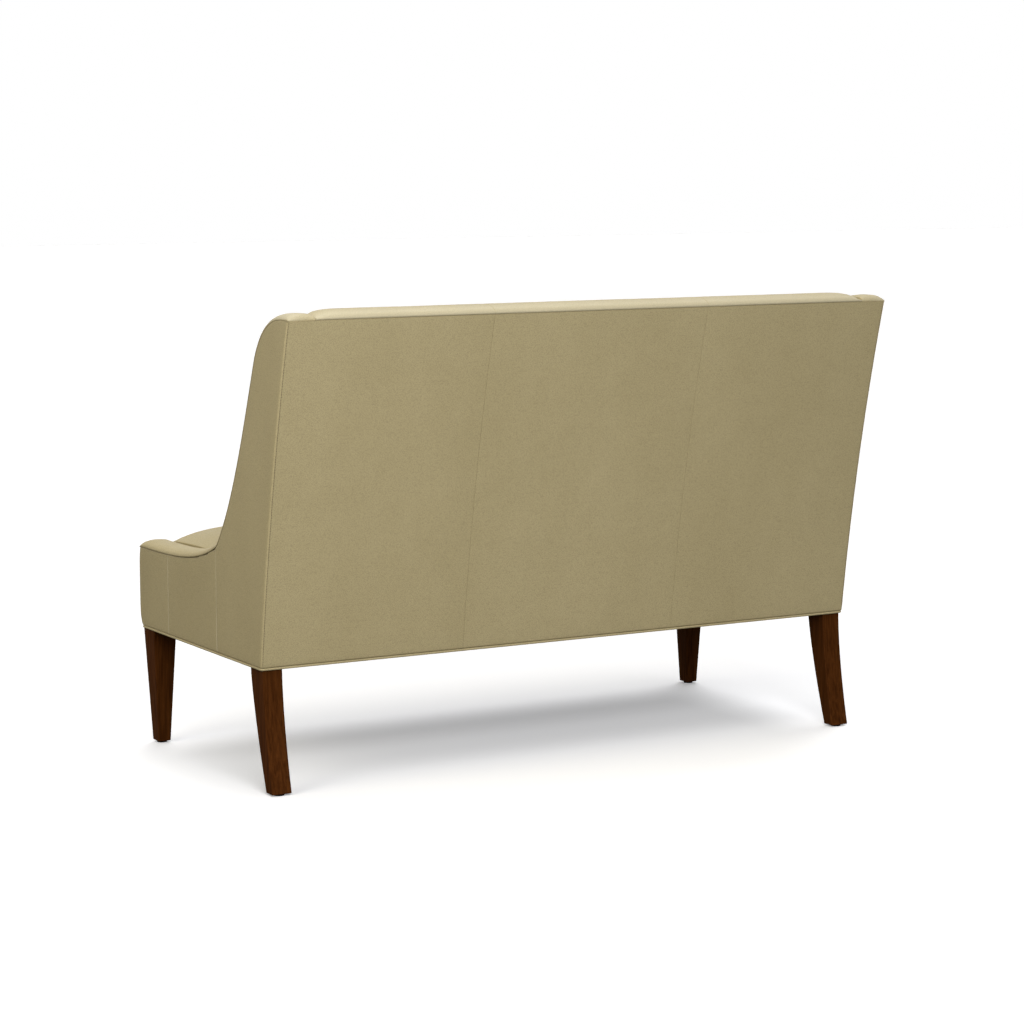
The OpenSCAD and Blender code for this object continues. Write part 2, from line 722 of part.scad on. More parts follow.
// Back pad: rows over the top and down the inside
back_drop = 57;
crown_power = 2.3;
back_low = deck_top + back_tuck;
function crown_y(k) = seam_end[0] - back_t / 2 + k * back_t / 2;
function rise(k, p) = pow(max(0, 1 - pow(k, crown_power)), p);
rear_fall = 0.35;
front_fall = 0.42;
lip_rise = 0.26;
face_shares = [0.08, 0.22, 0.38, 0.54, 0.7, 0.86, 1];
face_top = back_h + back_crown - back_drop;
back_rows = concat(
    [[seam_end[0], back_h, 0, 0], [seam_end[0] + lip, back_h + back_crown * lip_rise, 15, lip_rise]],
    [for (k = [0.92, 0.66, 0.3]) [
        crown_y(k), back_h + back_crown * rise(k, rear_fall), 90 - 50 * pow(k, 4), rise(k, rear_fall)]],
    [[crown_y(0), back_h + back_crown, 90, 1]],
    [for (k = [0.35, 0.6, 0.8, 0.93]) [
        crown_y(-k), face_top + back_drop * rise(k, front_fall), 90 + 80 * pow(k, 2.5), 1]],
    [for (s = face_shares) let (z = face_top + (back_low - face_top) * s) [
        rear_y(z) - back_t - back_swell * sin(180 * min(1, s * 1.05)), z, 172, 1]]
);
back_last = len(back_rows) - 1;
end_power = 50;
function back_point(r, x, t) = let (
        row = back_rows[r],
        drop = t + back_end_drop * pow(abs(x) / soft_x, end_power) * row[3]
    ) [x, row[0] - drop * cos(row[2]), row[1] - drop * sin(row[2])];
side_xs = [seam_x, (seam_x + soft_x) / 2, soft_x * 0.9, soft_x * 0.96, soft_x * 0.985, soft_x];
mid_xs = [-seam_x, 0, seam_x];
module inside_back_cover(xs) {
    color(LEATHER) skin(
        [for (r = [0:back_last]) [for (x = backwards(xs)) back_point(r, x, leather_t)]],
        [for (r = [0:back_last]) [for (x = backwards(xs)) back_point(r, x, 0)]]
    );
}

module inside_back_foam() {
    xs = concat(-1 * backwards(side_xs), [0], side_xs);
    rings = [for (x = xs) concat(
        [for (r = [0:back_last]) back_point(r, x, leather_t)],
        [for (p = backwards(back_line(liner_front, back_low, back_top))) [x, p[0], p[1]]],
        [[x, rear_y(back_top) - leather_t, back_top]]
    )];
    hub = [crown_y(-0.45), back_h + 3];
    color(FOAM) loft(backwards(rings), [soft_x, hub[0], hub[1]], [-soft_x, hub[0], hub[1]]);
}

// Arm and wing: roll, slab, front pad and leather
module inside_arm_foam(side) {
    color(FOAM) mirrored(side) along_x(slab_x, panel_x) polygon(frame_outline(rail_y, rail_top));
}

module arm_top_pad(side) {
    rings = [for (i = [0:seam_last]) let (low = roll_low(i))
        concat(
            [[felt_x, low[0], low[1]]],
            [for (a = roll_angles) roll_point(i, a, leather_t)],
            [[slab_x, low[0], low[1]]]
        )];
    hubs = [for (i = [0, seam_last])
        [half_w - arm_t / 2, roll_low(i)[0], roll_low(i)[1] + seam_inset / 2]];
    color(FOAM) mirrored(side) loft(backwards(rings), hubs[1], hubs[0]);
}

module arm_front_pad(side) {
    color(FOAM) mirrored(side) along_x(slab_x + 0.1, felt_x) polygon(concat(
        front_line(leather_t, panel_z, arm_h - seam_inset),
        [[rail_y, panel_z], [rail_y, seam_z(rail_y) - seam_inset]]
    ));
}

// Foot of the inside arm leather, tucked behind the back pad and beside the seat
tuck = liner_front + 2;
function arm_foot(i) = let (p = seam_line[i])
    i < 4 ? roll_low(i)
    : i <= corner_i ? let (
            low = back_h - wing_round,
            z = p[1] > low ? p[1] : deck_top + (p[1] - corner[1]) * (low - deck_top) / (low - corner[1])
        ) [rear_y(z) - tuck, min(z, p[1] - seam_inset)]
    : let (
            y0 = rear_y(deck_top) - tuck,
            y1 = front_y(deck_top)
        ) [y0 + (p[0] - corner[0]) * (y1 - y0) / (arm_end[0] - corner[0]), deck_top];
module inside_arm_cover(side) {
    outer = [for (i = [0:seam_last]) concat(
        [for (a = roll_angles) roll_point(i, a, 0)],
        [[arm_in_x, arm_foot(i)[0], arm_foot(i)[1]]])];
    inner = [for (i = [0:seam_last]) concat(
        [for (a = roll_angles) roll_point(i, a, leather_t)],
        [[slab_x, arm_foot(i)[0], arm_foot(i)[1]]])];
    color(LEATHER) mirrored(side) skin(backwards(outer), backwards(inner));
}

// Outside leathers
function side_outline(top_n, rear_d, low_z, front_d) = concat(
    [for (i = [0:seam_last]) seam_at(i, top_n)],
    front_line(front_d, low_z),
    backwards(back_line(rear_d, low_z, back_h + top_n))
);

module side_sheet(y0, y1) {
    along_x(felt_x, half_w) intersection() {
        polygon(side_outline(0, 0, panel_z, 0));
        translate([y0, 0]) square([y1 - y0, 2 * back_h]);
    }
}

module outside_arm_front(side) {
    color(LEATHER) mirrored(side) {
        side_sheet(-2 * body_d, -arm_seam_d);
        along_x(slab_x + 0.1, half_w) polygon(concat(
            front_line(0, panel_z),
            backwards(front_line(leather_t, panel_z))
        ));
        along_x(arm_in_x, half_w) polygon(concat(
            front_line(0, panel_z, deck_top - 0.5),
            backwards(front_line(leather_t, panel_z, deck_top - 0.5))
        ));
    }
}

module outside_arm_middle(side) {
    color(LEATHER) mirrored(side) side_sheet(-arm_seam_d, -corner_d);
}

module outside_wing(side) {
    color(LEATHER) mirrored(side) {
        side_sheet(-corner_d, 2 * body_d);
        back_member(half_w - corner_return, half_w, panel_z, back_h, 0, leather_t);
    }
}

module side_felt(side) {
    outline = concat(
        [[rear_y(back_top) - post_back, back_top]],
        frame_outline(rail_y, panel_z)
    );
    keep = len(frame_outline(rail_y, panel_z)) - len(post_front_line(panel_z, post_top_z));
    color(FELT) mirrored(side) along_x(frame_x, felt_x) polygon(concat(
        [for (i = [0:keep]) outline[i]],
        backwards(back_line(post_back, panel_z, post_top_z))
    ));
}

module back_felt() {
    color(FELT) difference() {
        back_member(-felt_x, felt_x, panel_z, back_top, leather_t, post_back);
        back_member(-post_x, post_x, back_top - strip_h, back_top + 1, post_back - strip_t, post_back + 1);
    }
}

module outside_back(x0, x1) {
    color(LEATHER) back_member(x0, x1, panel_z, back_h, 0, leather_t);
}

// Welt round the body's lower edge: rings of points round its four corners, each ring
// joined to the next and the last to the first
bend_r = 6;
module bottom_welt() {
    depth = post_back - welt_d / 2;
    x = half_w - depth - bend_r;
    y0 = front_y(panel_z) + depth + bend_r;
    y1 = rear_y(welt_z) - depth - bend_r;
    corners = [[x, y0, 270], [x, y1, 0], [-x, y1, 90], [-x, y0, 180]];
    rings = [for (c = corners, a = [0:22.5:90]) [for (i = [0:round_n - 1]) let (
            b = 360 * i / round_n,
            r = bend_r + welt_d / 2 * cos(b)
        ) [c[0] + r * cos(c[2] + a), c[1] + r * sin(c[2] + a), welt_z + welt_d / 2 * sin(b)]]];
    k = len(rings);
    color(LEATHER) polyhedron([for (r = rings) each r], [
        for (i = [0:k - 1], j = [0:round_n - 1]) let (
            a = i * round_n + j,
            b = i * round_n + (j + 1) % round_n,
            c = (i + 1) % k * round_n + j,
            d = (i + 1) % k * round_n + (j + 1) % round_n
        ) each [[a, b, d], [a, d, c]]
    ], convexity = 6);
}

// Dust cover under the rails, cut round the legs
module dust_cover() {
    edge = welt_d;
    x = half_w - edge;
    front = front_y(panel_z) + edge;
    rear = rear_y(leg_h) - edge;
    color(CLOTH) difference() {
        translate([-x, front, frame_z - dust_t]) cube([2 * x, rear - front, dust_t]);
        for (s = [-1, 1]) {
            translate([s * front_leg_x, front_leg_y, frame_z])
                cube([front_leg_w + 1, front_leg_d + 1, 4 * dust_t], center = true);
            translate([s * (post_x + post_w / 2), -post_back - post_d / 2, frame_z])
                cube([post_w + 1, post_d + 6, 4 * dust_t], center = true);
        }
    }
}

placed() {
    back_post(1);  // back_post_left
    back_post(-1);  // back_post_right
    back_top_rail();
    back_stay_rail();
    back_stile(1);  // back_stile_left
    back_stile(-1);  // back_stile_right
    rear_seat_rail();
    front_seat_rail();
    side_seat_rail(1);  // side_seat_rail_left
    side_seat_rail(-1);  // side_seat_rail_right
    seat_cross_rails();
    front_corner_blocks();
    rear_corner_blocks();
    arm_panel(1);  // arm_panel_left
    arm_panel(-1);  // arm_panel_right
    frame_dowels();
    corner_block_screws();
    front_leg(1);  // front_leg_left
    front_leg(-1);  // front_leg_right
    leg_glides();
    seat_springs();
    spring_clips();
    spring_tie_wires();
    seat_deck_cloth();
    back_straps();
    back_liner();
    back_tack_strip();
    seat_foam();
    front_rail_foam();
    inside_back_foam();
    inside_arm_foam(1);  // inside_arm_foam_left
    inside_arm_foam(-1);  // inside_arm_foam_right
    arm_top_pad(1);  // arm_top_pad_left
    arm_top_pad(-1);  // arm_top_pad_right
    arm_front_pad(1);  // arm_front_pad_left
    arm_front_pad(-1);  // arm_front_pad_right
    side_felt(1);  // side_felt_left
    side_felt(-1);  // side_felt_right
    back_felt();
    seat_cover();
    inside_back_cover(side_xs);  // inside_back_cover_left
    inside_back_cover(mid_xs);  // inside_back_cover_centre
    inside_back_cover(-1 * backwards(side_xs));  // inside_back_cover_right
    inside_arm_cover(1);  // inside_arm_cover_left
    inside_arm_cover(-1);  // inside_arm_cover_right
    outside_back(seam_x, half_w - corner_return);  // outside_back_left
    outside_back(-seam_x, seam_x);  // outside_back_centre
    outside_back(corner_return - half_w, -seam_x);  // outside_back_right
    outside_arm_front(1);  // outside_arm_front_left
    outside_arm_front(-1);  // outside_arm_front_right
    outside_arm_middle(1);  // outside_arm_middle_left
    outside_arm_middle(-1);  // outside_arm_middle_right
    outside_wing(1);  // outside_wing_left
    outside_wing(-1);  // outside_wing_right
    bottom_welt();
    dust_cover();
}
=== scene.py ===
"""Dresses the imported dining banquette: leather over its frame, legs, welt and cloth.

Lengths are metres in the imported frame: X runs along the seat, the seat faces -Y and Z is up.
The left arm is the one at +X. Outlines are worked out from the same driving sizes as the
frame, and their places are read from it.
"""

import bisect
import logging
import math
from dataclasses import dataclass, field
from enum import Enum
from functools import cache, cached_property, partial
from typing import Callable, Sequence

import bmesh
import bpy
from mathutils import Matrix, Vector, noise


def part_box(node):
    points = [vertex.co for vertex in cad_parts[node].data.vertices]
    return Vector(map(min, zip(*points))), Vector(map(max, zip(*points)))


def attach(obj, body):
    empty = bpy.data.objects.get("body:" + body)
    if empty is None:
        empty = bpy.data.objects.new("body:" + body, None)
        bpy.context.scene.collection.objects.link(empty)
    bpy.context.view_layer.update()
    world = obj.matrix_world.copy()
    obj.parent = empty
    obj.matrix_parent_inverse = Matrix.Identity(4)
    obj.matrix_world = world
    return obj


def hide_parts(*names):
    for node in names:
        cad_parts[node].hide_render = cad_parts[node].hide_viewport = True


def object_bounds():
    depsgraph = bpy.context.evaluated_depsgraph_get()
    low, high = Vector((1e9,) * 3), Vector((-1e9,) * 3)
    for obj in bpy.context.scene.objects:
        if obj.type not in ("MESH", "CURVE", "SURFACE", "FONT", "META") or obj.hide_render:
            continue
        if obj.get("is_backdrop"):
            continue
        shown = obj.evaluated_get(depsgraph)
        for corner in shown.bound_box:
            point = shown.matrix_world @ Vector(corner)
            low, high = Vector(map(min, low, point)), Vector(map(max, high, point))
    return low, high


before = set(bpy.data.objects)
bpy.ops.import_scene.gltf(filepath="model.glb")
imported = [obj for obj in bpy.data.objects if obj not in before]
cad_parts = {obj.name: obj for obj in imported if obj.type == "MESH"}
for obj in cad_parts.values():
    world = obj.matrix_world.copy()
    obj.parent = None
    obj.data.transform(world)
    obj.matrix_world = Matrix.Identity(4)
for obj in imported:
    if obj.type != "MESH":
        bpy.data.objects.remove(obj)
CAD_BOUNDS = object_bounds()

log = logging.getLogger("banquette")

ROOT = "root"
Place = Callable[[float, float], Vector]
AddNode = Callable[..., bpy.types.Node]
Triple = tuple[float, float, float]
# Headings at both ends in degrees from +Y towards +Z, and both handles as shares of the span
Curve = tuple[float, float, float, float]


def mm(value: float) -> float:
    """Millimetres as metres."""
    return value / 1000


class Side(Enum):
    """The two arms, by the sign of X they stand at."""

    LEFT = 1
    RIGHT = -1

    @property
    def label(self) -> str:
        """The name that the frame's nodes end with."""
        return self.name.lower()


# Curves and outlines


def lerp(a: float, b: float, share: float) -> float:
    """The value at a share of the way from a to b."""
    return a + (b - a) * share


def ease(value: float, start: float, end: float) -> float:
    """Smooth step of value between start and end, from 0 to 1."""
    share = min(1.0, max(0.0, (value - start) / (end - start)))
    return share * share * (3 - 2 * share)


def dome(distance: float, reach: float) -> float:
    """Height of a quarter circle that rises from 0 at an edge to 1 at a reach from it."""
    turn = max(0.0, 1 - distance / reach)
    return math.sqrt(1 - turn * turn)


def runs(points: Sequence[Vector]) -> list[float]:
    """Distances of points from the first, along the line through them."""
    total = [0.0]
    for a, b in zip(points, points[1:]):
        total.append(total[-1] + (b - a).length)
    return total


def bezier(start: Vector, end: Vector, curve: Curve, steps: int = 40) -> list[Vector]:
    """Points of a cubic curve between two points in (y, z).

    Args:
        start: First point.
        end: Last point.
        curve: Its headings and handles.
        steps: Number of straight steps.

    Returns:
        The points after the first one.
    """
    leave, arrive, near, far = curve
    span = (end - start).length
    a, b = math.radians(leave), math.radians(arrive)
    p1 = start + Vector((math.cos(a), math.sin(a))) * span * near
    p2 = end - Vector((math.cos(b), math.sin(b))) * span * far
    return [
        (1 - t) ** 3 * start + 3 * (1 - t) ** 2 * t * p1 + 3 * (1 - t) * t * t * p2 + t**3 * end
        for t in [i / steps for i in range(1, steps + 1)]
    ]


def rounded(points: Sequence[Vector], steps: int = 8) -> list[Vector]:
    """A smooth line through points, by Catmull-Rom pieces of even parameter."""
    line = [points[0]]
    last = len(points) - 1
    for i in range(last):
        p0, p1, p2, p3 = points[max(i - 1, 0)], points[i], points[i + 1], points[min(i + 2, last)]
        square = 2 * p0 - 5 * p1 + 4 * p2 - p3
        cube = 3 * p1 - p0 - 3 * p2 + p3
        for t in [k / steps for k in range(1, steps + 1)]:
            line.append(0.5 * (2 * p1 + (p2 - p0) * t + square * t * t + cube * t**3))
    return line


class Line:
    """A line of many short steps in (y, z), walked by its length."""

    def __init__(self, points: Sequence[Vector]) -> None:
        """Keeps the points and their distances from the start."""
        self.points = list(points)
        self.marks = runs(self.points)
        self.length = self.marks[-1]

    def at(self, distance: float) -> Vector:
        """The point at a distance from the start, held to the line's ends."""
        distance = min(max(distance, 0.0), self.length)
        i = min(max(bisect.bisect_right(self.marks, distance), 1), len(self.marks) - 1)
        step = self.marks[i] - self.marks[i - 1]
        share = (distance - self.marks[i - 1]) / step if step else 0.0
        return self.points[i - 1].lerp(self.points[i], share)

    def heading(self, distance: float, window: float = mm(6)) -> Vector:
        """Direction of the line at a distance, averaged over a window each way."""
        return (self.at(distance + window) - self.at(distance - window)).normalized()

    def reach(self, test: Callable[[Vector], bool]) -> float:
        """Distance of the first point that passes a test, or the line's length."""
        return next((mark for point, mark in zip(self.points, self.marks) if test(point)), self.length)


@dataclass(frozen=True)
class SideView:
    """The banquette's outline seen along X, in (y, z).

    The fields with a default are its driving sizes. The others are read from the frame.
    """

    half_width: float
    heel_y: float
    low_z: float
    panel_z: float
    seam_z: float
    deck_z: float
    rake: float = mm(141)
    hollow: float = mm(13)
    body_depth: float = mm(620)
    front_swell: float = mm(17)
    front_ease: float = mm(5)
    arm_z: float = mm(438)
    wing_depth: float = mm(136)
    wing_drop: float = mm(97)
    wing_flat: float = mm(36)
    corner_depth: float = mm(215)
    corner_rise: float = mm(50)
    # How late the arm's front swells out above its foot, and eases back under its top
    swell_power: int = 11
    ease_power: int = 12
    wing_top: Curve = (182, 249, 0.41, 0.35)
    wing_front: Curve = (249, 229, 0.36, 0.29)
    arm_top: Curve = (206, 179.5, 0.26, 0.47)
    upright_end: float = mm(12)

    @classmethod
    def from_frame(cls) -> "SideView":
        """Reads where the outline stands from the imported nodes."""
        back_low, back_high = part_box("outside_back_centre")
        wing_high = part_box("outside_wing_left")[1]
        return cls(
            half_width=wing_high.x,
            heel_y=back_high.y - cls.rake,
            low_z=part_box("bottom_welt")[0].z,
            panel_z=back_low.z,
            seam_z=back_high.z,
            deck_z=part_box("seat_foam")[0].z,
        )

    @cached_property
    def arc(self) -> Triple:
        """Radius and centre (y, z) of the outside back's hollow arc."""
        rise = self.seam_z - self.low_z
        chord = math.hypot(self.rake, rise)
        radius = (chord * chord / 4 + self.hollow**2) / (2 * self.hollow)
        out = (radius - self.hollow) / chord
        y, z = self.heel_y + self.rake / 2, (self.low_z + self.seam_z) / 2
        return radius, y + rise * out, z - self.rake * out

    def rear_y(self, z: float) -> float:
        """Y of the outside back at a height."""
        radius, y, mid_z = self.arc
        return y - math.sqrt(radius * radius - (z - mid_z) ** 2)

    def rear_out(self, z: float) -> Vector:
        """Direction out of the outside back at a height."""
        _, y, mid_z = self.arc
        return Vector((0, y - self.rear_y(z), mid_z - z)).normalized()

    def front_y(self, z: float) -> float:
        """Y of the arm's padded front at a height."""
        share = min(1.0, max(0.0, (z - self.low_z) / (self.arm_z - self.low_z)))
        swell = self.front_swell * (1 - (1 - share) ** self.swell_power)
        return self.heel_y - self.body_depth - (swell - self.front_ease * share**self.ease_power)

    @cached_property
    def corner(self) -> Vector:
        """Where the arm meets the wing."""
        return Vector((self.heel_y - self.corner_depth, self.arm_z + self.corner_rise))

    @cached_property
    def seam(self) -> Line:
        """The seam over wing and arm, from the back's top to the arm's front."""
        end = Vector((self.rear_y(self.seam_z), self.seam_z))
        start = end - Vector((self.wing_flat, 0))
        break_z = self.seam_z - self.wing_drop
        wing_break = Vector((self.rear_y(break_z) - self.wing_depth, break_z))
        arm_end = Vector((self.front_y(self.arm_z), self.arm_z))
        return Line(
            [end.lerp(start, k / 4) for k in range(5)]
            + bezier(start, wing_break, self.wing_top)
            + bezier(wing_break, self.corner, self.wing_front)
            + bezier(self.corner, arm_end, self.arm_top)
        )

    @cached_property
    def corner_mark(self) -> float:
        """Distance of the arm's corner along the seam."""
        near = self.corner + Vector((mm(0.01), mm(0.01)))
        return self.seam.reach(lambda p: p.y <= near.y and p.x <= near.x)

    def seam_over(self, y: float) -> float:
        """Height of the seam at a depth."""
        return self.seam.at(self.seam.reach(lambda p: p.x <= y)).y

    def seam_up(self, distance: float) -> Vector:
        """Direction out of the seam in its own plane, upright at both ends."""
        heading = self.seam.heading(distance)
        up = Vector((heading.y, -heading.x))
        near = min(distance, self.seam.length - distance)
        return up.lerp(Vector((0, 1)), 1 - ease(near, 0, self.upright_end)).normalized()


# Mesh making


@dataclass(frozen=True)
class Hem:
    """How a leather turns in at one of its borders.

    Args:
        radius: Radius of the turned edge.
        pull: How deep the stitching pulls the leather.
        reach: How far from the border that pull is felt.
        shade: Painted shade that darkens the seam, from 0 to 1, or painted highlight that makes it pale, down
            to -1.
    """

    radius: float
    pull: float = 0.0
    reach: float = mm(9)
    shade: float = 1.0

    def drop(self, distance: float) -> float:
        """How far the leather lies under its own surface near the border."""
        return self.radius * (1 - dome(distance, self.radius)) + self.pull * math.exp(-distance / self.reach)

    def tone(self, distance: float) -> float:
        """Painted shade, or below 0 painted highlight, of the leather at a distance from the border."""
        return self.shade * math.exp(-((distance / (1.1 * self.radius)) ** 2))


class Border(Enum):
    """The four borders of a panel that runs along s and t from 0 to 1."""

    S0 = 0
    S1 = 1
    T0 = 2
    T1 = 3


# Distances of a mesh's lines from a border with a hem, in radii of the hem
HEM_LINES = (0, 0.1, 0.35, 0.7, 1.1, 2.2, 4.5)


def shares(length: float, cell: float, first: Hem | None, last: Hem | None) -> list[float]:
    """Shares of a length at which a grid has its lines, close together near a hem.

    Args:
        length: The length that the lines divide.
        cell: Width of the cells away from the hems.
        first: Hem at the start, if there is one.
        last: Hem at the end, if there is one.

    Returns:
        Rising shares from 0 to 1.
    """
    head = [k * first.radius for k in HEM_LINES] if first else [0.0]
    tail = [length - k * last.radius for k in reversed(HEM_LINES)] if last else [length]
    gap = tail[0] - head[-1]
    count = max(1, round(gap / cell))
    middle = [head[-1] + gap * i / count for i in range(1, count)]
    return [mark / length for mark in head + middle + tail]


def add_grid(mesh: bmesh.types.BMesh, columns: int, rows: int) -> dict[tuple[int, int], bmesh.types.BMVert]:
    """Adds a grid to a mesh and gives its vertices by column and row."""
    x_cells, y_cells = columns - 1, rows - 1
    made = bmesh.ops.create_grid(mesh, x_segments=x_cells, y_segments=y_cells, size=1)["verts"]
    return {(round((v.co.x + 1) / 2 * x_cells), round((v.co.y + 1) / 2 * y_cells)): v for v in made}


def add_block(mesh: bmesh.types.BMesh, low: Triple, high: Triple) -> None:
    """Adds a box between two corners to a mesh."""
    for vert in bmesh.ops.create_cube(mesh, size=1)["verts"]:
        vert.co = [b if place > 0 else a for a, b, place in zip(low, high, vert.co)]


def finish_piece(name: str, mesh: bmesh.types.BMesh) -> bpy.types.Object:
    """Turns a bmesh into a linked object that rides on the frame.

    Args:
        name: The piece's name.
        mesh: The finished bmesh, which is freed.

    Returns:
        The new object.
    """
    for face in mesh.faces:
        face.smooth = True
    data = bpy.data.meshes.new(name)
    mesh.to_mesh(data)
    mesh.free()
    piece = bpy.data.objects.new(name, data)
    bpy.context.scene.collection.objects.link(piece)
    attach(piece, ROOT)
    log.info("%s: %d faces", name, len(data.polygons))
    return piece


@dataclass
class Filling:
    """The stuffing: swells padded pieces by a cloth simulation of their leather.

    The pieces' broad faces are shaped too flat, and all of them swell together. The leather is
    held at its seams and on its hidden side, and no point moves further than the piece's give.
    Where its pull would squash the foam it moves a little only.
    """

    pressure: float = 4.0
    squash: float = 0.15
    frames: int = 20
    quality: int = 5
    stretch_stiffness: float = 25
    bend_stiffness: float = 5
    pieces: list[tuple[bpy.types.Object, float]] = field(default_factory=list)

    def add(self, piece: bpy.types.Object, give: float) -> None:
        """Notes a piece to swell, and how far its leather may move."""
        self.pieces.append((piece, give))

    def stretch(self, piece: bpy.types.Object) -> None:
        """Makes a piece's leather a cloth under pressure, held where it isn't free."""
        held = piece.vertex_groups.new(name="held")
        for index, point in enumerate(piece.data.attributes["free"].data):
            held.add([index], 1 - point.value, "REPLACE")
        cloth = piece.modifiers.new("filling", "CLOTH")
        cloth.point_cache.frame_start = 1
        cloth.point_cache.frame_end = self.frames
        leather = cloth.settings
        leather.quality = self.quality
        leather.vertex_group_mass = held.name
        leather.tension_stiffness = leather.compression_stiffness = self.stretch_stiffness
        leather.bending_stiffness = self.bend_stiffness
        leather.use_pressure = True
        leather.uniform_pressure_force = self.pressure
        leather.effector_weights.gravity = 0

    def settle(self) -> None:
        """Runs the simulation once for all the pieces and keeps its result."""
        scene = bpy.context.scene
        for piece, _ in self.pieces:
            self.stretch(piece)
        for step in range(1, self.frames + 1):
            scene.frame_set(step)
        for piece, give in self.pieces:
            self.keep(piece, give)
        scene.frame_set(1)
        for piece, _ in self.pieces:
            piece.data.attributes.remove(piece.data.attributes["free"])

    def keep(self, piece: bpy.types.Object, give: float) -> None:
        """Moves a piece's points to where the leather came to rest, within its give."""
        swollen = piece.evaluated_get(bpy.context.evaluated_depsgraph_get()).to_mesh()
        rests = [vert.co.copy() for vert in swollen.vertices]
        outward = [vert.normal.copy() for vert in piece.data.vertices]
        furthest = 0.0
        for vert, rest, out in zip(piece.data.vertices, rests, outward):
            push = rest - vert.co
            furthest = max(furthest, push.length)
            push -= out * min(0.0, push.dot(out)) * (1 - self.squash)
            vert.co += push * (give * math.tanh(push.length / give) / max(push.length, 1e-9))
        piece.modifiers.clear()
        piece.vertex_groups.clear()
        log.info("%s: pushed out by up to %.1f mm, kept to %.1f mm", piece.name, furthest * 1000, give * 1000)


FILLING = Filling()


@dataclass
class Panel:
    """A closed, padded leather panel over a surface of two shares, s and t.

    Args:
        name: The piece's name.
        place: Point of the leather's surface at (s, t).
        size: Rough lengths of the panel along s and t.
        facing: Direction the middle of the panel looks.
        hems: The hems at the borders that have one.
        backing: Point of the panel's inner side at (s, t), or its thickness.
        cell: Width of the mesh's cells.
        ripple: Height of the leather's soft unevenness.
        ripple_size: Width of one swell of it.
        t_lines: Shares of t for the mesh's lines, in place of even ones.
        strength: How strongly a border's painted shade or highlight shows at (s, t), where it changes along
            it.
        worn: Painted highlight that makes the leather paler at (s, t), from 0 to 1.
        give: How far the filling may push the leather out, or 0 where it lies flat.
        calm: How far from a hem the unevenness reaches its full height.
        held: Distances from a border at which the leather starts to be free, and is so.
    """

    name: str
    place: Place
    size: tuple[float, float]
    facing: Vector
    hems: dict[Border, Hem]
    backing: Place | float = mm(4)
    cell: float = mm(14)
    ripple: float = mm(0.3)
    ripple_size: float = mm(110)
    t_lines: Sequence[float] | None = None
    strength: Callable[[Border, float, float], float] = lambda edge, s, t: 1.0
    # Painted highlight over crowns, taken off the seam tone
    worn: Callable[[float, float], float] = lambda s, t: 0.0
    give: float = 0.0
    calm: float = mm(60)
    held: tuple[float, float] = (mm(6), mm(40))

    def build(self) -> bpy.types.Object:
        """Makes the panel's mesh and object.

        Returns:
            The object, linked and riding on the frame.
        """
        hems = self.hems
        ends = [hems.get(edge) for edge in Border]
        s_lines = shares(self.size[0], self.cell, *ends[:2])
        t_lines = self.t_lines or shares(self.size[1], self.cell, *ends[2:])
        base = [[self.place(s, t) for t in t_lines] for s in s_lines]
        turn = -1 if self.normal(0.5, 0.5).dot(self.facing) < 0 else 1
        normals = [[self.normal(s, t) * turn for t in t_lines] for s in s_lines]
        along = [runs(row) for row in base]
        across = [runs(column) for column in zip(*base)]

        mesh = bmesh.new()
        # Painted shade at the seams per point, or painted highlight where below 0
        seam = mesh.verts.layers.float.new("seam")
        free = mesh.verts.layers.float.new("free")
        for (i, j), vert in add_grid(mesh, len(s_lines), len(t_lines)).items():
            s, t = s_lines[i], t_lines[j]
            away = {
                Border.S0: across[j][i],
                Border.S1: across[j][-1] - across[j][i],
                Border.T0: along[i][j],
                Border.T1: along[i][-1] - along[i][j],
            }
            drop = max(hem.drop(away[edge]) for edge, hem in hems.items())
            calm = ease(min(away[edge] for edge in hems), 0, self.calm)
            swell = noise.noise(base[i][j] / self.ripple_size + self.shift) * self.ripple * calm
            vert.co = base[i][j] + normals[i][j] * (swell - drop)
            vert[free] = ease(min(away.values()), *self.held)
            # Painted seam shade or highlight, less the painted highlight over the crowns
            tones = [hem.tone(away[edge]) * self.strength(edge, s, t) for edge, hem in hems.items()]
            vert[seam] = max(tones, key=abs) - self.worn(s, t)
        for (i, j), vert in add_grid(mesh, len(s_lines), len(t_lines)).items():
            if callable(self.backing):
                vert.co = self.backing(s_lines[i], t_lines[j])
            else:
                vert.co = base[i][j] - normals[i][j] * self.backing
        bmesh.ops.bridge_loops(mesh, edges=[e for e in mesh.edges if e.is_boundary])
        bmesh.ops.recalc_face_normals(mesh, faces=mesh.faces)
        piece = finish_piece(self.name, mesh)
        if self.give:
            FILLING.add(piece, self.give)
        return piece

    @property
    def shift(self) -> Vector:
        """Offset of the panel's unevenness, so that no two panels share it."""
        return Vector((len(self.name) * 3.1, sum(map(ord, self.name)) * 0.37, 1.7))

    def normal(self, s: float, t: float, step: float = 0.002) -> Vector:
        """Direction square to the surface at (s, t), to either side."""
        ds = self.place(min(1.0, s + step), t) - self.place(max(0.0, s - step), t)
        dt = self.place(s, min(1.0, t + step)) - self.place(s, max(0.0, t - step))
        return ds.cross(dt).normalized()


# Materials


def linear(code: str) -> tuple[float, float, float, float]:
    """An sRGB hex colour such as "#A99C78" as linear RGBA."""
    channels = [int(code[i : i + 2], 16) / 255 for i in (1, 3, 5)]
    return (*[c / 12.92 if c <= 0.04045 else ((c + 0.055) / 1.055) ** 2.4 for c in channels], 1.0)


def per(length_mm: float) -> float:
    """Scale of a texture whose pattern repeats about every length_mm."""
    return 1000 / length_mm


def spans(start: float, end: float, low: float, high: float) -> dict[str, float]:
    """Inputs that map a stretch of values from start to end onto low to high."""
    return {"From Min": start, "From Max": end, "To Min": low, "To Max": high}


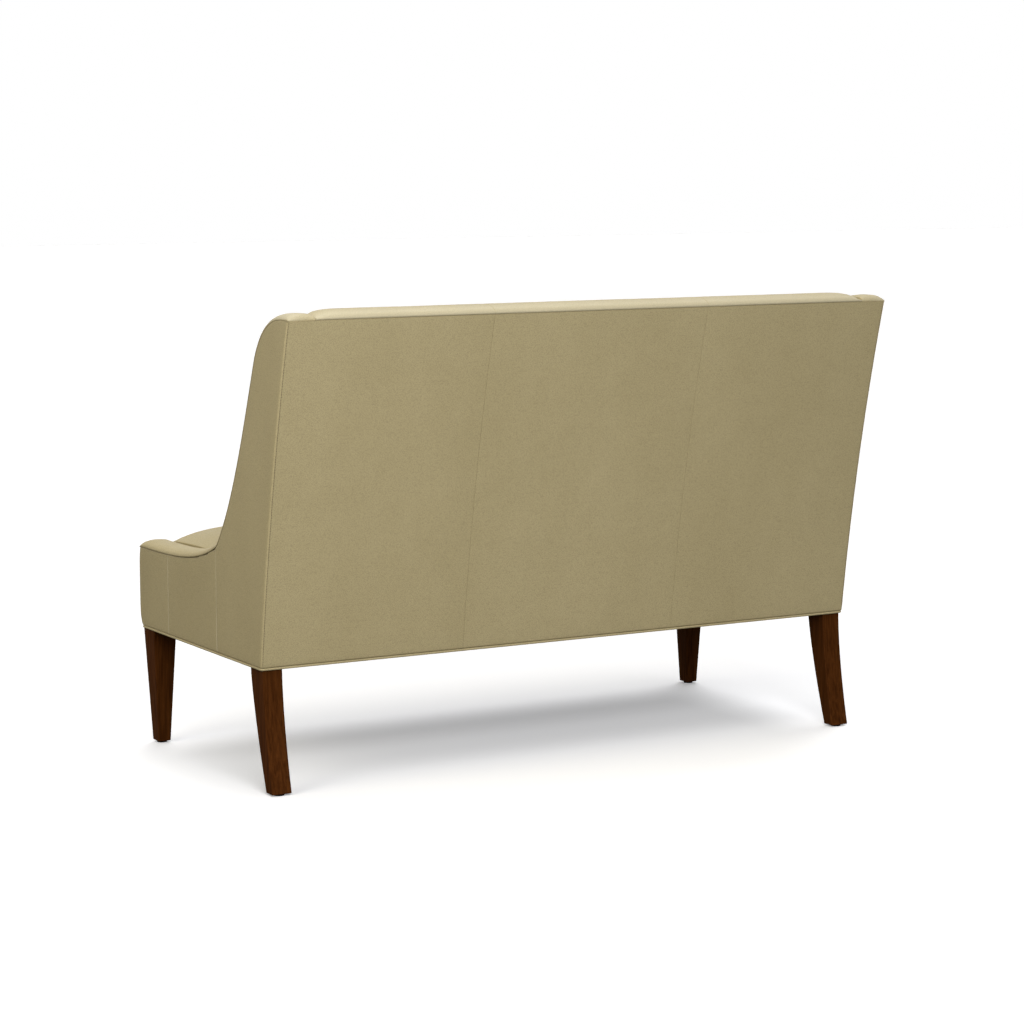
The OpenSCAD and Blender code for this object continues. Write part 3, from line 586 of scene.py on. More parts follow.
def add_node(
    tree: bpy.types.NodeTree, kind: str, inputs: dict | None = None, **settings: object
) -> bpy.types.Node:
    """Adds a node with its settings and links.

    Args:
        tree: The node tree.
        kind: The node's type name, without its first word.
        inputs: Socket name or number to a value, an output, or a node whose result it takes.
        **settings: Attributes of the node.

    Returns:
        The new node.
    """
    node = tree.nodes.new(f"ShaderNode{kind}")
    for key, value in settings.items():
        setattr(node, key, value)
    for key, value in (inputs or {}).items():
        if isinstance(value, bpy.types.Node):
            value = next(output for output in value.outputs if output.enabled)
        if isinstance(value, bpy.types.NodeSocket):
            tree.links.new(value, node.inputs[key])
        else:
            node.inputs[key].default_value = value
    return node


class Finish:
    """What a surface is made of, with a method look that builds its nodes."""

    name: str

    def material(self) -> bpy.types.Material:
        """Builds the finish's material."""
        made = bpy.data.materials.new(self.name)
        made.use_nodes = True
        made.node_tree.nodes.clear()
        add = partial(add_node, made.node_tree)
        add("OutputMaterial", {"Surface": add("BsdfPrincipled", self.look(add))})
        return made


@dataclass(frozen=True)
class TanLeather(Finish):
    """Corrected-grain upholstery leather, pigment finished.

    Its clouds are soft and upright, its grain is fine and even and it shines little. It has painted
    shade where it turns into a seam, and a painted highlight on a lip beside a seam and over the crowns.
    """

    name: str = "tan_leather"
    deep: str = "#A69871"
    pale: str = "#B6A881"
    # Painted shade laid into the seams' grooves
    seam: str = "#54482E"
    # Painted highlight on the lip beside a seam and over the crowns
    lip: str = "#D1CBB5"
    cloud_mm: float = 190
    patch_mm: float = 48
    # The real grain is about 1 mm, drawn coarser so that it shows
    grain_mm: float = 1.7
    wrinkle_mm: float = 4.25
    bump_mm: float = 0.5
    cloud_share: float = 0.75
    patch_share: float = 0.45
    mean: float = 0.1
    # Tone of a grain's middle and of the pits between
    grain_tone: tuple[float, float] = (1.1, 0.8)
    # How far the painted seam shade goes towards its colour
    seam_share: float = 0.8
    ior: float = 1.48
    shine: float = 0.25

    def look(self, add: AddNode) -> dict[str, object]:
        """Builds the leather's nodes and gives the shader's inputs."""
        here = add("TexCoord").outputs["Object"]
        upright = add("Mapping", {"Vector": here, "Scale": (1, 1, 0.4)})
        cloud = add("TexNoise", {"Vector": upright, "Scale": per(self.cloud_mm), "Detail": 3})
        patch = add("TexNoise", {"Vector": here, "Scale": per(self.patch_mm), "Detail": 4, "Roughness": 0.6})
        part = add("Math", {0: patch, 1: self.patch_share}, operation="MULTIPLY")
        total = add("Math", {0: cloud, 1: self.cloud_share, 2: part}, operation="MULTIPLY_ADD")
        share = add("Math", {0: total, 1: self.mean}, operation="SUBTRACT", use_clamp=True)
        colour = add("Mix", {0: share, 6: linear(self.deep), 7: linear(self.pale)}, data_type="RGBA")
        grain = add("TexVoronoi", {"Vector": here, "Scale": per(self.grain_mm)})
        pit = add("MapRange", {"Value": grain, **spans(0.2, 0.8, *self.grain_tone)})
        pitted = add("Mix", {0: 1.0, 6: colour, 7: pit}, data_type="RGBA", blend_type="MULTIPLY")
        # The seam attribute paints shade where it is above 0, and a highlight where it is below 0
        border = add("Attribute", attribute_name="seam").outputs["Fac"]
        highlight_share = add("Math", {0: border, 1: -1.0}, operation="MULTIPLY", use_clamp=True)
        dark = add("Math", {0: border, 1: self.seam_share}, operation="MULTIPLY", use_clamp=True)
        # Painted highlight mixed in where the seam attribute is below 0
        highlighted = add("Mix", {0: highlight_share, 6: pitted, 7: linear(self.lip)}, data_type="RGBA")
        shown = add("Mix", {0: dark, 6: highlighted, 7: linear(self.seam)}, data_type="RGBA")
        gloss = add("MapRange", {"Value": patch, **spans(0.3, 0.7, 0.5, 0.62)})
        folds = {"Vector": here, "Scale": per(self.wrinkle_mm), "Detail": 5, "Roughness": 0.6}
        wrinkle = add("TexNoise", folds)
        height = add("Math", {0: grain, 1: -0.6, 2: wrinkle}, operation="MULTIPLY_ADD")
        bump = add("Bump", {"Height": height, "Strength": 0.5, "Distance": mm(self.bump_mm)})
        surface = {"Base Color": shown, "Roughness": gloss, "Normal": bump}
        return {**surface, "IOR": self.ior, "Specular IOR Level": self.shine}


@dataclass(frozen=True)
class Timber(Finish):
    """Sawn and sanded wood, whose grain is drawn by long streaks along one axis."""

    name: str
    dark: str
    light: str
    along: str = "Z"
    streak_mm: float = 4
    roughness: float = 0.5
    shine: float = 0.3
    # Plies of plywood lie flat to X
    ply_mm: float = 0
    bump_mm: float = 0.2

    def look(self, add: AddNode) -> dict[str, object]:
        """Builds the wood's nodes and gives the shader's inputs."""
        here = add("TexCoord").outputs["Object"]
        stretch = {"X": (0.03, 1, 1), "Y": (1, 0.03, 1), "Z": (1, 1, 0.03)}[self.along]
        grain = add("Mapping", {"Vector": here, "Scale": stretch})
        pores = add("TexNoise", {"Vector": grain, "Scale": per(self.streak_mm / 5), "Detail": 2})
        if self.ply_mm:
            across = add("SeparateXYZ", {0: here})
            ply = add("Math", {0: across, 1: per(2 * self.ply_mm)}, operation="MULTIPLY")
            saw = add("Math", {0: ply}, operation="FRACT")
            band = add("Math", {0: saw, 1: 0.5}, operation="GREATER_THAN")
            share = add("Math", {0: band, 1: 0.6, 2: 0.2}, operation="MULTIPLY_ADD")
        else:
            streaks = {"Vector": grain, "Scale": per(self.streak_mm), "Detail": 5, "Roughness": 0.65}
            streak = add("TexNoise", {**streaks, "Distortion": 0.4})
            share = add("MapRange", {"Value": streak, **spans(0.3, 0.7, 0, 1)})
        colour = add("Mix", {0: share, 6: linear(self.dark), 7: linear(self.light)}, data_type="RGBA")
        span = spans(0.3, 0.7, self.roughness - 0.06, self.roughness + 0.08)
        gloss = add("MapRange", {"Value": pores, **span})
        bump = add("Bump", {"Height": pores, "Strength": 0.25, "Distance": mm(self.bump_mm)})
        return {"Base Color": colour, "Roughness": gloss, "Normal": bump, "Specular IOR Level": self.shine}


@dataclass(frozen=True)
class Fibre(Finish):
    """Cloth, felt, card, thread or open foam: a matt surface with a fine texture."""

    name: str
    dark: str
    light: str
    grain_mm: float
    roughness: float = 0.9
    depth_mm: float = 0.3
    sheen: float = 0.0

    def look(self, add: AddNode) -> dict[str, object]:
        """Builds the fibres' nodes and gives the shader's inputs."""
        here = add("TexCoord").outputs["Object"]
        fine = add("TexNoise", {"Vector": here, "Scale": per(self.grain_mm), "Detail": 6, "Roughness": 0.7})
        broad = add("TexNoise", {"Vector": here, "Scale": per(self.grain_mm * 12), "Detail": 3})
        blend = add("Math", {0: fine, 1: broad}, operation="MULTIPLY")
        share = add("MapRange", {"Value": blend, **spans(0.12, 0.4, 0, 1)})
        colour = add("Mix", {0: share, 6: linear(self.dark), 7: linear(self.light)}, data_type="RGBA")
        bump = add("Bump", {"Height": fine, "Strength": 0.6, "Distance": mm(self.depth_mm)})
        matt = {"Roughness": self.roughness, "Sheen Weight": self.sheen}
        return {"Base Color": colour, "Normal": bump, **matt}


@dataclass(frozen=True)
class Metal(Finish):
    """Drawn or pressed steel with the faint lines of its making."""

    name: str
    dark: str
    light: str
    roughness: float = 0.35
    line_mm: float = 1.2

    def look(self, add: AddNode) -> dict[str, object]:
        """Builds the metal's nodes and gives the shader's inputs."""
        drawn = add("Mapping", {"Vector": add("TexCoord").outputs["Object"], "Scale": (1, 1, 0.1)})
        lines = add("TexNoise", {"Vector": drawn, "Scale": per(self.line_mm), "Detail": 4})
        colour = add("Mix", {0: lines, 6: linear(self.dark), 7: linear(self.light)}, data_type="RGBA")
        gloss = add("MapRange", {"Value": lines, **spans(0, 1, self.roughness - 0.08, self.roughness + 0.1)})
        return {"Base Color": colour, "Roughness": gloss, "Metallic": 0.95}


class Slot(Enum):
    """The material slots of the imported frame, with the finish each one gets."""

    TAN_LEATHER = TanLeather()
    # Stained and lacquered hardwood, nearly black on the sides and red-brown where lit
    LEG_WOOD = Timber("leg_wood", "#321704", "#522D10", streak_mm=5, shine=0.02)
    # Plain poplar, sawn and left raw
    FRAME_WOOD = Timber("frame_wood", "#B8935F", "#DCBE90", along="X", streak_mm=6, roughness=0.7)
    # Birch plywood with its plies showing on the edges
    PLYWOOD = Timber("plywood", "#B48B55", "#D9B983", along="Y", roughness=0.65, ply_mm=1.5)
    # Cut polyether foam
    FOAM = Fibre("foam", "#D8C88C", "#F2E8BE", grain_mm=1.6, depth_mm=0.4)
    # Needled wool felt and card
    FELT = Fibre("felt", "#BDB9AE", "#E9E6DD", grain_mm=2.0, depth_mm=0.5, sheen=0.3)
    # Drawn spring wire and pressed clips
    STEEL = Metal("steel", "#6E7073", "#A5A8AC")
    # Spun-bonded cloth: flat black fibres pressed together
    BLACK_CLOTH = Fibre("black_cloth", "#101012", "#26262A", grain_mm=1.4, depth_mm=0.2, roughness=0.8)
    # Pressed steel glides, browned
    GLIDE_STEEL = Metal("glide_steel", "#14110F", "#2B2724", roughness=0.4)

    @cached_property
    def material(self) -> bpy.types.Material:
        """The slot's material, made once."""
        return self.value.material()

    def dress(self, piece: bpy.types.Object) -> None:
        """Gives a new piece this slot and its material."""
        piece.data.materials.clear()
        piece.data.materials.append(self.material)


@cache
def thread_material() -> bpy.types.Material:
    """Waxed thread, a little darker than the leather, made once."""
    return Fibre("thread", "#4A3F2A", "#5E5238", grain_mm=0.6, depth_mm=0.1, roughness=0.7).material()


# Sub-assemblies

# A hem's shade above 0 is painted shade in the seam's groove, and below 0 a painted highlight on its lip
ROLL_SEAM = Hem(mm(1.6), pull=mm(0.6), shade=0.7)
TOP_SEAM = Hem(mm(1.1), pull=mm(0.3), shade=0.35)
PLAIN_SEAM = Hem(mm(0.8), pull=mm(0.3), shade=0.15)
FAINT_SEAM = Hem(mm(0.9), pull=mm(0.3), shade=0.2)
PALE_SEAM = Hem(mm(1.2), pull=mm(0.2), shade=-0.4)
LOW_SEAM = Hem(mm(1.8), pull=mm(0.8), reach=mm(7), shade=0.6)
CORNER_LIP = Hem(mm(1.6), pull=mm(0.2), shade=0.15)
HIDDEN_EDGE = Hem(mm(8), shade=0.3)
BACK_END = Hem(mm(2), shade=0.12)
SEAT_END = Hem(mm(2), shade=0.1)

# X of the two seams of the back, the felt under the outside leathers, how far the wing's
# leather turns onto the back, and the painted highlight at the back's upper edge and over its top
BACK_SEAM_X = mm(263)
FELT_DEPTH = mm(4.4)
CORNER_RETURN = mm(4)
LIP_SHEEN = 0.2
TOP_SHEEN = 0.16


def crown_wear(distance: float) -> float:
    """Painted highlight that makes the leather paler at a distance over the crown from the rear seam."""
    lip = LIP_SHEEN * (1 - ease(distance, mm(12), mm(45)))
    return lip + TOP_SHEEN * (1 - ease(distance, mm(60), mm(150)))


def back_spans(edge: float) -> dict[str, tuple[float, float]]:
    """Where the back's three leathers start and end along X, out to an edge."""
    seam = BACK_SEAM_X
    return {"left": (seam, edge), "centre": (-seam, seam), "right": (-edge, -seam)}


def end_hems(label: str, outermost: Hem) -> dict[Border, Hem]:
    """Hems at the ends of one of the back's leathers, which differ at the back's own ends."""
    return {
        Border.S0: outermost if label == "right" else PLAIN_SEAM,
        Border.S1: outermost if label == "left" else PLAIN_SEAM,
    }


class Upholstery:
    """A sub-assembly of padded leathers."""

    @staticmethod
    def dress(piece: bpy.types.Object, fill: float, *nodes: str) -> None:
        """Finishes a leather and takes over its nodes.

        Args:
            piece: The leather.
            fill: How much of it is filling and leather, from 0 to 1; not used.
            *nodes: The frame's nodes that it stands for.
        """
        Slot.TAN_LEATHER.dress(piece)
        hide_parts(*nodes)


@dataclass
class BackLeathers(Upholstery):
    """The three leathers stretched over the outside of the back."""

    view: SideView

    def build(self) -> None:
        """Makes the left, centre and right leathers."""
        for label, span in back_spans(self.view.half_width - CORNER_RETURN).items():
            hidden = ["back_felt"] if label == "centre" else []
            self.dress(self.leather(label, *span), 0.95, f"outside_back_{label}", *hidden)

    def leather(self, label: str, x0: float, x1: float) -> bpy.types.Object:
        """Makes one leather between two seams.

        Args:
            label: Which of the three it is.
            x0: X of its start.
            x1: X of its end.

        Returns:
            The leather.
        """
        view = self.view
        rise = view.seam_z - view.panel_z

        def place(s: float, t: float) -> Vector:
            """Point of the outside back."""
            z = view.panel_z + rise * t
            return Vector((lerp(x0, x1, s), view.rear_y(z), z))

        return Panel(
            f"back_leather_{label}",
            place,
            (x1 - x0, rise),
            Vector((0, 1, 0)),
            {**end_hems(label, FAINT_SEAM), Border.T0: LOW_SEAM, Border.T1: TOP_SEAM},
            backing=FELT_DEPTH,
            ripple=mm(0.5),
        ).build()


@dataclass
class BackPad(Upholstery):
    """The padded inside back, pulled over the top to the seam behind."""

    view: SideView
    thickness: float = mm(99.5)
    crown: float = mm(19.5)
    lip: float = mm(2)
    swell: float = mm(4)
    shoulder: float = mm(57)
    end_drop: float = mm(11)
    end_power: int = 41
    front_drop: float = 0.7
    liner_depth: float = mm(32.5)
    liner_steps: int = 24
    leather: float = mm(1.5)

    @cached_property
    def half_width(self) -> float:
        """X of the pad's ends."""
        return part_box("inside_back_cover_left")[1].x

    @cached_property
    def low_z(self) -> float:
        """Height of the pad's lower edge."""
        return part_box("inside_back_cover_centre")[0].z

    @cached_property
    def path(self) -> Line:
        """The pad's section, from the rear seam over the crown and down the inside."""
        view = self.view
        seam_y, seam_z = view.rear_y(view.seam_z), view.seam_z
        mid = seam_y - self.thickness / 2
        face_z = seam_z + self.crown - self.shoulder

        def round_off(k: float, base: float, height: float, power: float) -> Vector:
            """Point of the crown at k of the half depth, behind the middle or ahead of it."""
            return Vector((mid + k * self.thickness / 2, base + height * (1 - abs(k) ** 2.3) ** power))

        points = [Vector((seam_y, seam_z)), Vector((seam_y + self.lip, seam_z + 0.26 * self.crown))]
        points += [round_off(k, seam_z, self.crown, 0.35) for k in (0.92, 0.66, 0.3, 0)]
        points += [round_off(-k, face_z, self.shoulder, 0.42) for k in (0.35, 0.6, 0.8, 0.93)]
        for share in (0.08, 0.22, 0.38, 0.54, 0.7, 0.86, 1):
            z = lerp(face_z, self.low_z, share)
            bulge = self.swell * math.sin(math.pi * min(1, share * 1.05))
            points.append(Vector((view.rear_y(z) - self.thickness - bulge, z)))
        return Line(rounded(points))

    @cached_property
    def inner(self) -> Line:
        """The pad's inner side: along the top rail and down the liner."""
        view = self.view
        top = view.seam_z - mm(1)
        heights = [lerp(top, self.low_z, i / self.liner_steps) for i in range(self.liner_steps + 1)]
        start = Vector((view.rear_y(top) - self.leather, top))
        return Line([start] + [Vector((view.rear_y(z) - self.liner_depth, z)) for z in heights])

    def build(self) -> None:
        """Makes the three leathers of the pad, each with its filling."""
        for label, span in back_spans(self.half_width).items():
            hidden = ["inside_back_foam"] if label == "centre" else []
            self.dress(self.section(label, *span), 0.8, f"inside_back_cover_{label}", *hidden)

    def section(self, label: str, x0: float, x1: float) -> bpy.types.Object:
        """Makes the pad between two seams.

        Args:
            label: Which of the three it is.
            x0: X of its start.
            x1: X of its end.

        Returns:
            The padded leather.
        """

        def place(s: float, t: float) -> Vector:
            """Point of the pad's leather."""
            x = lerp(x0, x1, s)
            mark = self.path.length * t
            point, heading = self.path.at(mark), self.path.heading(mark)
            drop = self.end_drop * (abs(x) / self.half_width) ** self.end_power * ease(mark, 0, mm(20))
            drop *= 1 + self.front_drop * ease(mark, mm(35), mm(90))
            return Vector((x, point.x - heading.y * drop, point.y + heading.x * drop))

        return Panel(
            f"inside_back_leather_{label}",
            place,
            (x1 - x0, self.path.length),
            Vector((0, -1, 0.2)),
            {**end_hems(label, BACK_END), Border.T0: TOP_SEAM, Border.T1: HIDDEN_EDGE},
            backing=lambda s, t: Vector((lerp(x0, x1, s), *self.inner.at(self.inner.length * t))),
            cell=mm(12),
            ripple=mm(0.9),
            ripple_size=mm(140),
            give=mm(5),
            # Painted highlight over the crown
            worn=lambda s, t: crown_wear(self.path.length * t),
        ).build()


@dataclass
class SeatPad(Upholstery):
    """The tight seat: foam under one leather, from the front's lower edge to the crevice."""

    view: SideView
    crown_z: float = mm(487)
    roll: float = mm(62)
    roll_stretch: float = 1.1
    roll_flat: float = mm(5)
    set_back: float = mm(5)
    side_drop: float = mm(30)
    side_power: int = 10
    sag: float = mm(18)
    leather: float = mm(1.5)

    @cached_property
    def end(self) -> Vector:
        """The left rear corner of the seat's cover."""
        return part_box("seat_cover")[1]

    @cached_property
    def path(self) -> Line:
        """The seat's section, from the lower front edge over the roll to the rear."""
        view = self.view
        deep = self.roll * self.roll_stretch
        roll_z = self.crown_z - self.roll
        middle = (view.deck_z + roll_z) / 2
        roll_y = view.front_y(middle) + self.set_back + deep
        low = [view.panel_z + rise for rise in (0, mm(12), mm(36))]
        front = low + [view.deck_z - mm(25), view.deck_z, middle]
        points = [Vector((view.front_y(z) + self.set_back, z)) for z in front]
        for a in [math.radians(deg) for deg in (0, 25, 45, 65, 85)]:
            rise = (self.roll - self.roll_flat) * math.sin(a)
            points.append(Vector((roll_y - deep * math.cos(a), roll_z + rise)))
        for share in (0.2, 0.45, 0.7, 0.88, 0.97):
            sink = self.sag * (max(0, share - 0.25) / 0.75) ** 2 + self.roll_flat * (1 - share) ** 6
            points.append(Vector((lerp(roll_y, self.end.y, share), self.crown_z - sink)))
        points.append(Vector((self.end.y, self.crown_z - 2 * self.sag)))
        return Line(rounded(points))

    @cached_property
    def inner(self) -> Line:
        """The seat's inner side: up the front rail and along the deck."""
        low_z, deck_z = self.view.panel_z, self.view.deck_z
        rail_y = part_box("front_seat_rail")[0].y
        corners = ((rail_y, low_z), (rail_y, deck_z), (self.end.y - self.leather, deck_z))
        return Line([Vector(corner) for corner in corners])

    def build(self) -> None:
        """Makes the seat in one piece."""
        path, inner = self.path, self.inner
        roll_mark = path.reach(lambda p: p.y > self.view.deck_z)
        full_mark = path.reach(lambda p: p.y > self.crown_z - mm(6))

        def place(s: float, t: float) -> Vector:
            """Point of the seat's leather."""
            u = 2 * s - 1
            mark = path.length * t
            point = path.at(mark)
            drop = self.side_drop * abs(u) ** self.side_power * ease(mark, roll_mark, full_mark)
            return Vector((u * self.end.x, point.x, point.y - drop))

        seat = Panel(
            "seat_upholstery",
            place,
            (2 * self.end.x, path.length),
            Vector((0, -0.5, 1)),
            {Border.S0: SEAT_END, Border.S1: SEAT_END, Border.T0: LOW_SEAM, Border.T1: HIDDEN_EDGE},
            backing=lambda s, t: Vector(((2 * s - 1) * self.end.x, *inner.at(inner.length * t))),
            cell=mm(13),
            ripple=mm(1.4),
            ripple_size=mm(150),
            give=mm(6),
        ).build()
        self.dress(seat, 0.8, "seat_cover", "seat_foam", "front_rail_foam")


@dataclass
class ArmAndWing(Upholstery):
    """One side: the roll over arm and wing, its inside face and the three side leathers."""

    view: SideView
    side: Side
    thickness: float = mm(62)
    arm_crown: float = mm(16)
    wing_crown: float = mm(14)
    wing_inner: float = 0.62
    arm_inner: float = 0.72
    rear_round: float = mm(16)
    front_round: float = mm(15)
    tuck: float = mm(34.5)
    front_seam: float = mm(474)
    corner_seam: float = mm(218)
    front_corner: float = mm(7)
    inner_corner: float = mm(3.5)
    inner_return: float = mm(2)
    front_gap: float = mm(5.8)
    # Share of the roll's leather that lies over the roll, the rest hangs inside
    over: float = 0.36
    over_lines: int = 14
    inside_lines: int = 20
    wing_width: float = mm(300)
    # The roll's hidden side: how far it lies under the seam, its play over the felt, and its
    # distance from the roll's surface
    under: float = mm(0.8)
    over_felt: float = mm(0.2)
    side_inset: float = mm(1.5)
    # Lengths along the seam over which the roll's height and its inner edge change to the arm's
    crown_change: float = mm(80)
    inner_change: float = mm(100)
    # Pitch, length and width of the corner's stitches, and how deep they are drawn in
    stitch: Triple = (mm(5.5), mm(3.2), mm(0.8))
    stitch_depth: float = mm(0.35)

    def point(self, x: float, y: float, z: float) -> Vector:
        """A point on this side of the banquette."""
        return Vector((x * self.side.value, y, z))

    @cached_property
    def inner_x(self) -> float:
        """X of the arm's inside face."""
        return self.view.half_width - self.thickness

    @cached_property
    def panel_x(self) -> float:
        """X of the arm panel's inner face."""
        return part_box("arm_panel_left")[0].x

    def build(self) -> None:
        """Makes the five pieces of this side."""
        for make, fill, nodes in (
            (self.roll, 0.85, ("inside_arm_cover", "inside_arm_foam", "arm_top_pad")),
            (self.front_leather, 0.9, ("outside_arm_front", "arm_front_pad")),
            (self.middle_leather, 0.95, ("outside_arm_middle",)),
            (self.wing_leather, 0.95, ("outside_wing", "side_felt")),
        ):
            self.dress(make(), fill, *[f"{node}_{self.side.label}" for node in nodes])
        self.stitches()

    def crown(self, mark: float) -> float:
        """Height of the roll at a distance along the seam."""
        view = self.view
        corner, reach = view.corner_mark, self.crown_change
        change = ease(mark, corner - reach, corner + reach)
        ends = dome(mark, self.rear_round) * dome(view.seam.length - mark, self.front_round)
        return lerp(self.wing_crown, self.arm_crown, change) * ends

    def fullness(self, mark: float, turn: float) -> float:
        """Share of the crown's height across the roll, from pi / 2 at its crest inwards.

        Beside the back pad and the seat the roll stays fairly full to its inner edge.

        Args:
            mark: Distance along the seam.
            turn: Angle across the roll, 0 at the seam and pi at the inner edge.

        Returns:
            The share, from 0 to 1.
        """
        arch = max(0.0, math.sin(turn)) ** 0.9
        if turn < math.pi / 2:
            return arch
        corner = self.view.corner_mark
        kept = lerp(self.wing_inner, self.arm_inner, ease(mark, corner - self.inner_change, corner))
        return kept + (1 - kept) * arch

    def foot(self, mark: float) -> Vector:
        """Lower end of the inside leather, behind the back pad or beside the seat."""
        view = self.view
        corner, point = view.corner, view.seam.at(mark)
        low = view.seam_z - view.wing_drop
        if point.y > view.seam_z - mm(1) or mark < view.wing_flat:
            return Vector((point.x, point.y - mm(1)))
        if mark <= view.corner_mark:
            z = point.y
            if z < low:
                z = view.deck_z + (z - corner.y) * (low - view.deck_z) / (low - corner.y)
            hidden = ease(mark, view.wing_flat, view.wing_flat + mm(40))
            return Vector((lerp(point.x, view.rear_y(z) - self.tuck, hidden), min(z, point.y - mm(1))))
        start = view.rear_y(view.deck_z) - self.tuck
        share = (point.x - corner.x) / (view.front_y(view.arm_z) - corner.x)
        return Vector((lerp(start, view.front_y(view.deck_z), share), view.deck_z))

    def on_side(self, y: float, t: float) -> Vector:
        """Point of the arm's outside at a depth and a share of the height up to the seam."""
        view = self.view
        return self.point(view.half_width, y, lerp(view.panel_z, view.seam_over(y), t))

    def ahead(self, point: Vector, gap: float) -> Vector:
        """A point kept behind the arm's front by a gap, and ahead of the outside back."""
        y = max(point.x, self.view.front_y(point.y) + gap)
        return Vector((min(y, self.view.rear_y(point.y)), point.y))

    def roll(self) -> bpy.types.Object:
        """Makes the padded roll with the inside leather that hangs from it."""
        view, seam, over = self.view, self.view.seam, self.over
        half = self.thickness / 2
        mid_x = view.half_width - half

        def section(s: float, t: float) -> tuple[float, Vector]:
            """X and (y, z) of the leather."""
            mark = seam.length * s
            turn = math.pi * min(1.0, t / over)
            edge = seam.at(mark) + view.seam_up(mark) * (self.crown(mark) * self.fullness(mark, turn))
            if t <= over:
                gap = self.front_gap * ease(t / over, 0.75, 1)
                return mid_x + half * math.cos(turn), self.ahead(edge, gap)
            share = (t - over) / (1 - over)
            return self.inner_x, self.ahead(edge.lerp(self.foot(mark), share), self.front_gap)

        def place(s: float, t: float) -> Vector:
            """Point of the leather."""
            x, p = section(s, t)
            return self.point(x, *p)

        def inside(s: float, t: float) -> Vector:
            """Point of the filling's hidden side."""
            if t > over:
                p = section(s, t)[1]
                return self.point(self.panel_x, p.x, p.y - self.under * (1 - (t - over) / (1 - over)))
            mark = seam.length * s
            x = max(self.panel_x, mid_x + half * math.cos(math.pi * t / over) - self.side_inset)
            rise = self.over_felt if x > view.half_width - FELT_DEPTH - mm(1) else -self.under
            gap = self.front_gap * ease(t / over, 0.2, 0.5)
            return self.point(x, *self.ahead(seam.at(mark) + view.seam_up(mark) * rise, gap))

        turns = [math.pi * i / self.over_lines for i in range(self.over_lines + 1)]
        arch = [over * (1 - math.cos(turn)) / 2 for turn in turns]
        near_hem = [over * k for k in (0.006, 0.018)]
        hanging = [lerp(over, 1, i / self.inside_lines) for i in range(1, self.inside_lines + 1)]
        def worn(s: float, t: float) -> float:
            """Painted highlight that makes the leather paler: over the wing only."""
            return crown_wear(self.thickness * t / over) * (1 - ease(seam.length * s, mm(40), mm(160)))

        return Panel(
            f"arm_wing_roll_{self.side.label}",
            place,
            (seam.length, self.thickness * 2),
            self.point(-1, 0, 0),
            {Border.S0: TOP_SEAM, Border.S1: ROLL_SEAM, Border.T0: ROLL_SEAM},
            backing=inside,
            cell=mm(9),
            ripple=mm(0.5),
            ripple_size=mm(90),
            t_lines=sorted(set(arch + near_hem)) + hanging,
            worn=worn,
        ).build()

    def front_leather(self) -> bpy.types.Object:
        """Makes the leather round the arm's front, from its side seam to the seat."""
        view = self.view
        y_seam = view.heel_y - self.front_seam
        outer, inner = self.front_corner, self.inner_corner
        across = self.thickness - outer - inner
        turn_out, turn_in = outer * math.pi / 2, inner * math.pi / 2

        def side_run(z: float) -> float:
            """Length of the leather on the arm's side at a height."""
            return y_seam - view.front_y(z) - outer

        def length(z: float) -> float:
            """Length of the leather at a height."""
            return side_run(z) + turn_out + across + turn_in + self.inner_return

        def place(s: float, t: float) -> Vector:
            """Point of the leather, s running along its plan."""
            z = lerp(view.panel_z, view.arm_z, t)
            front = view.front_y(z)
            walk = s * length(z)
            if walk <= side_run(z):
                return self.on_side(y_seam - walk, t)
            walk -= side_run(z)
            if walk <= turn_out:
                a = walk / outer
                x = view.half_width - outer + outer * math.cos(a)
                return self.point(x, front + outer - outer * math.sin(a), z)
            walk -= turn_out
            if walk <= across:
                return self.point(view.half_width - outer - walk, front, z)
            walk -= across
            if walk <= turn_in:
                a = walk / inner
                x = self.inner_x + inner - inner * math.sin(a)
                return self.point(x, front + inner - inner * math.cos(a), z)
            return self.point(self.inner_x, front + inner + walk - turn_in, z)

        return Panel(
            f"arm_front_leather_{self.side.label}",
            place,
            (length(view.arm_z), view.arm_z - view.panel_z),
            self.point(1, -1, 0),
            {Border.S0: PALE_SEAM, Border.T0: LOW_SEAM, Border.T1: ROLL_SEAM},
            backing=mm(3),
            cell=mm(3.5),
        ).build()

    def middle_leather(self) -> bpy.types.Object:
        """Makes the leather between the arm's two side seams."""
        view = self.view
        y0, y1 = view.heel_y - self.front_seam, view.heel_y - self.corner_seam
        return Panel(
            f"arm_side_leather_{self.side.label}",
            lambda s, t: self.on_side(lerp(y0, y1, s), t),
            (y1 - y0, view.arm_z - view.panel_z),
            self.point(1, 0, 0),
            {Border.S0: FAINT_SEAM, Border.S1: PALE_SEAM, Border.T0: LOW_SEAM, Border.T1: ROLL_SEAM},
            backing=FELT_DEPTH,
            cell=mm(10),
        ).build()

    def wing_leather(self) -> bpy.types.Object:
        """Makes the leather from the corner seam on the back, round to the wing's edge."""
        view = self.view
        y_seam = view.heel_y - self.corner_seam
        top_mark = view.seam.reach(lambda p: p.x <= y_seam)
        border = Line(
            [Vector((y_seam, view.panel_z)), view.seam.at(top_mark)]
            + [view.seam.at(top_mark * (1 - i / 200)) for i in range(1, 201)]
        )
        flat_y = view.rear_y(view.seam_z) - view.wing_flat
        end = border.reach(lambda p: p.y > view.seam_z - mm(0.4) and p.x > flat_y)
        radius = CORNER_RETURN
        on_back = radius * math.pi / 2 / self.wing_width

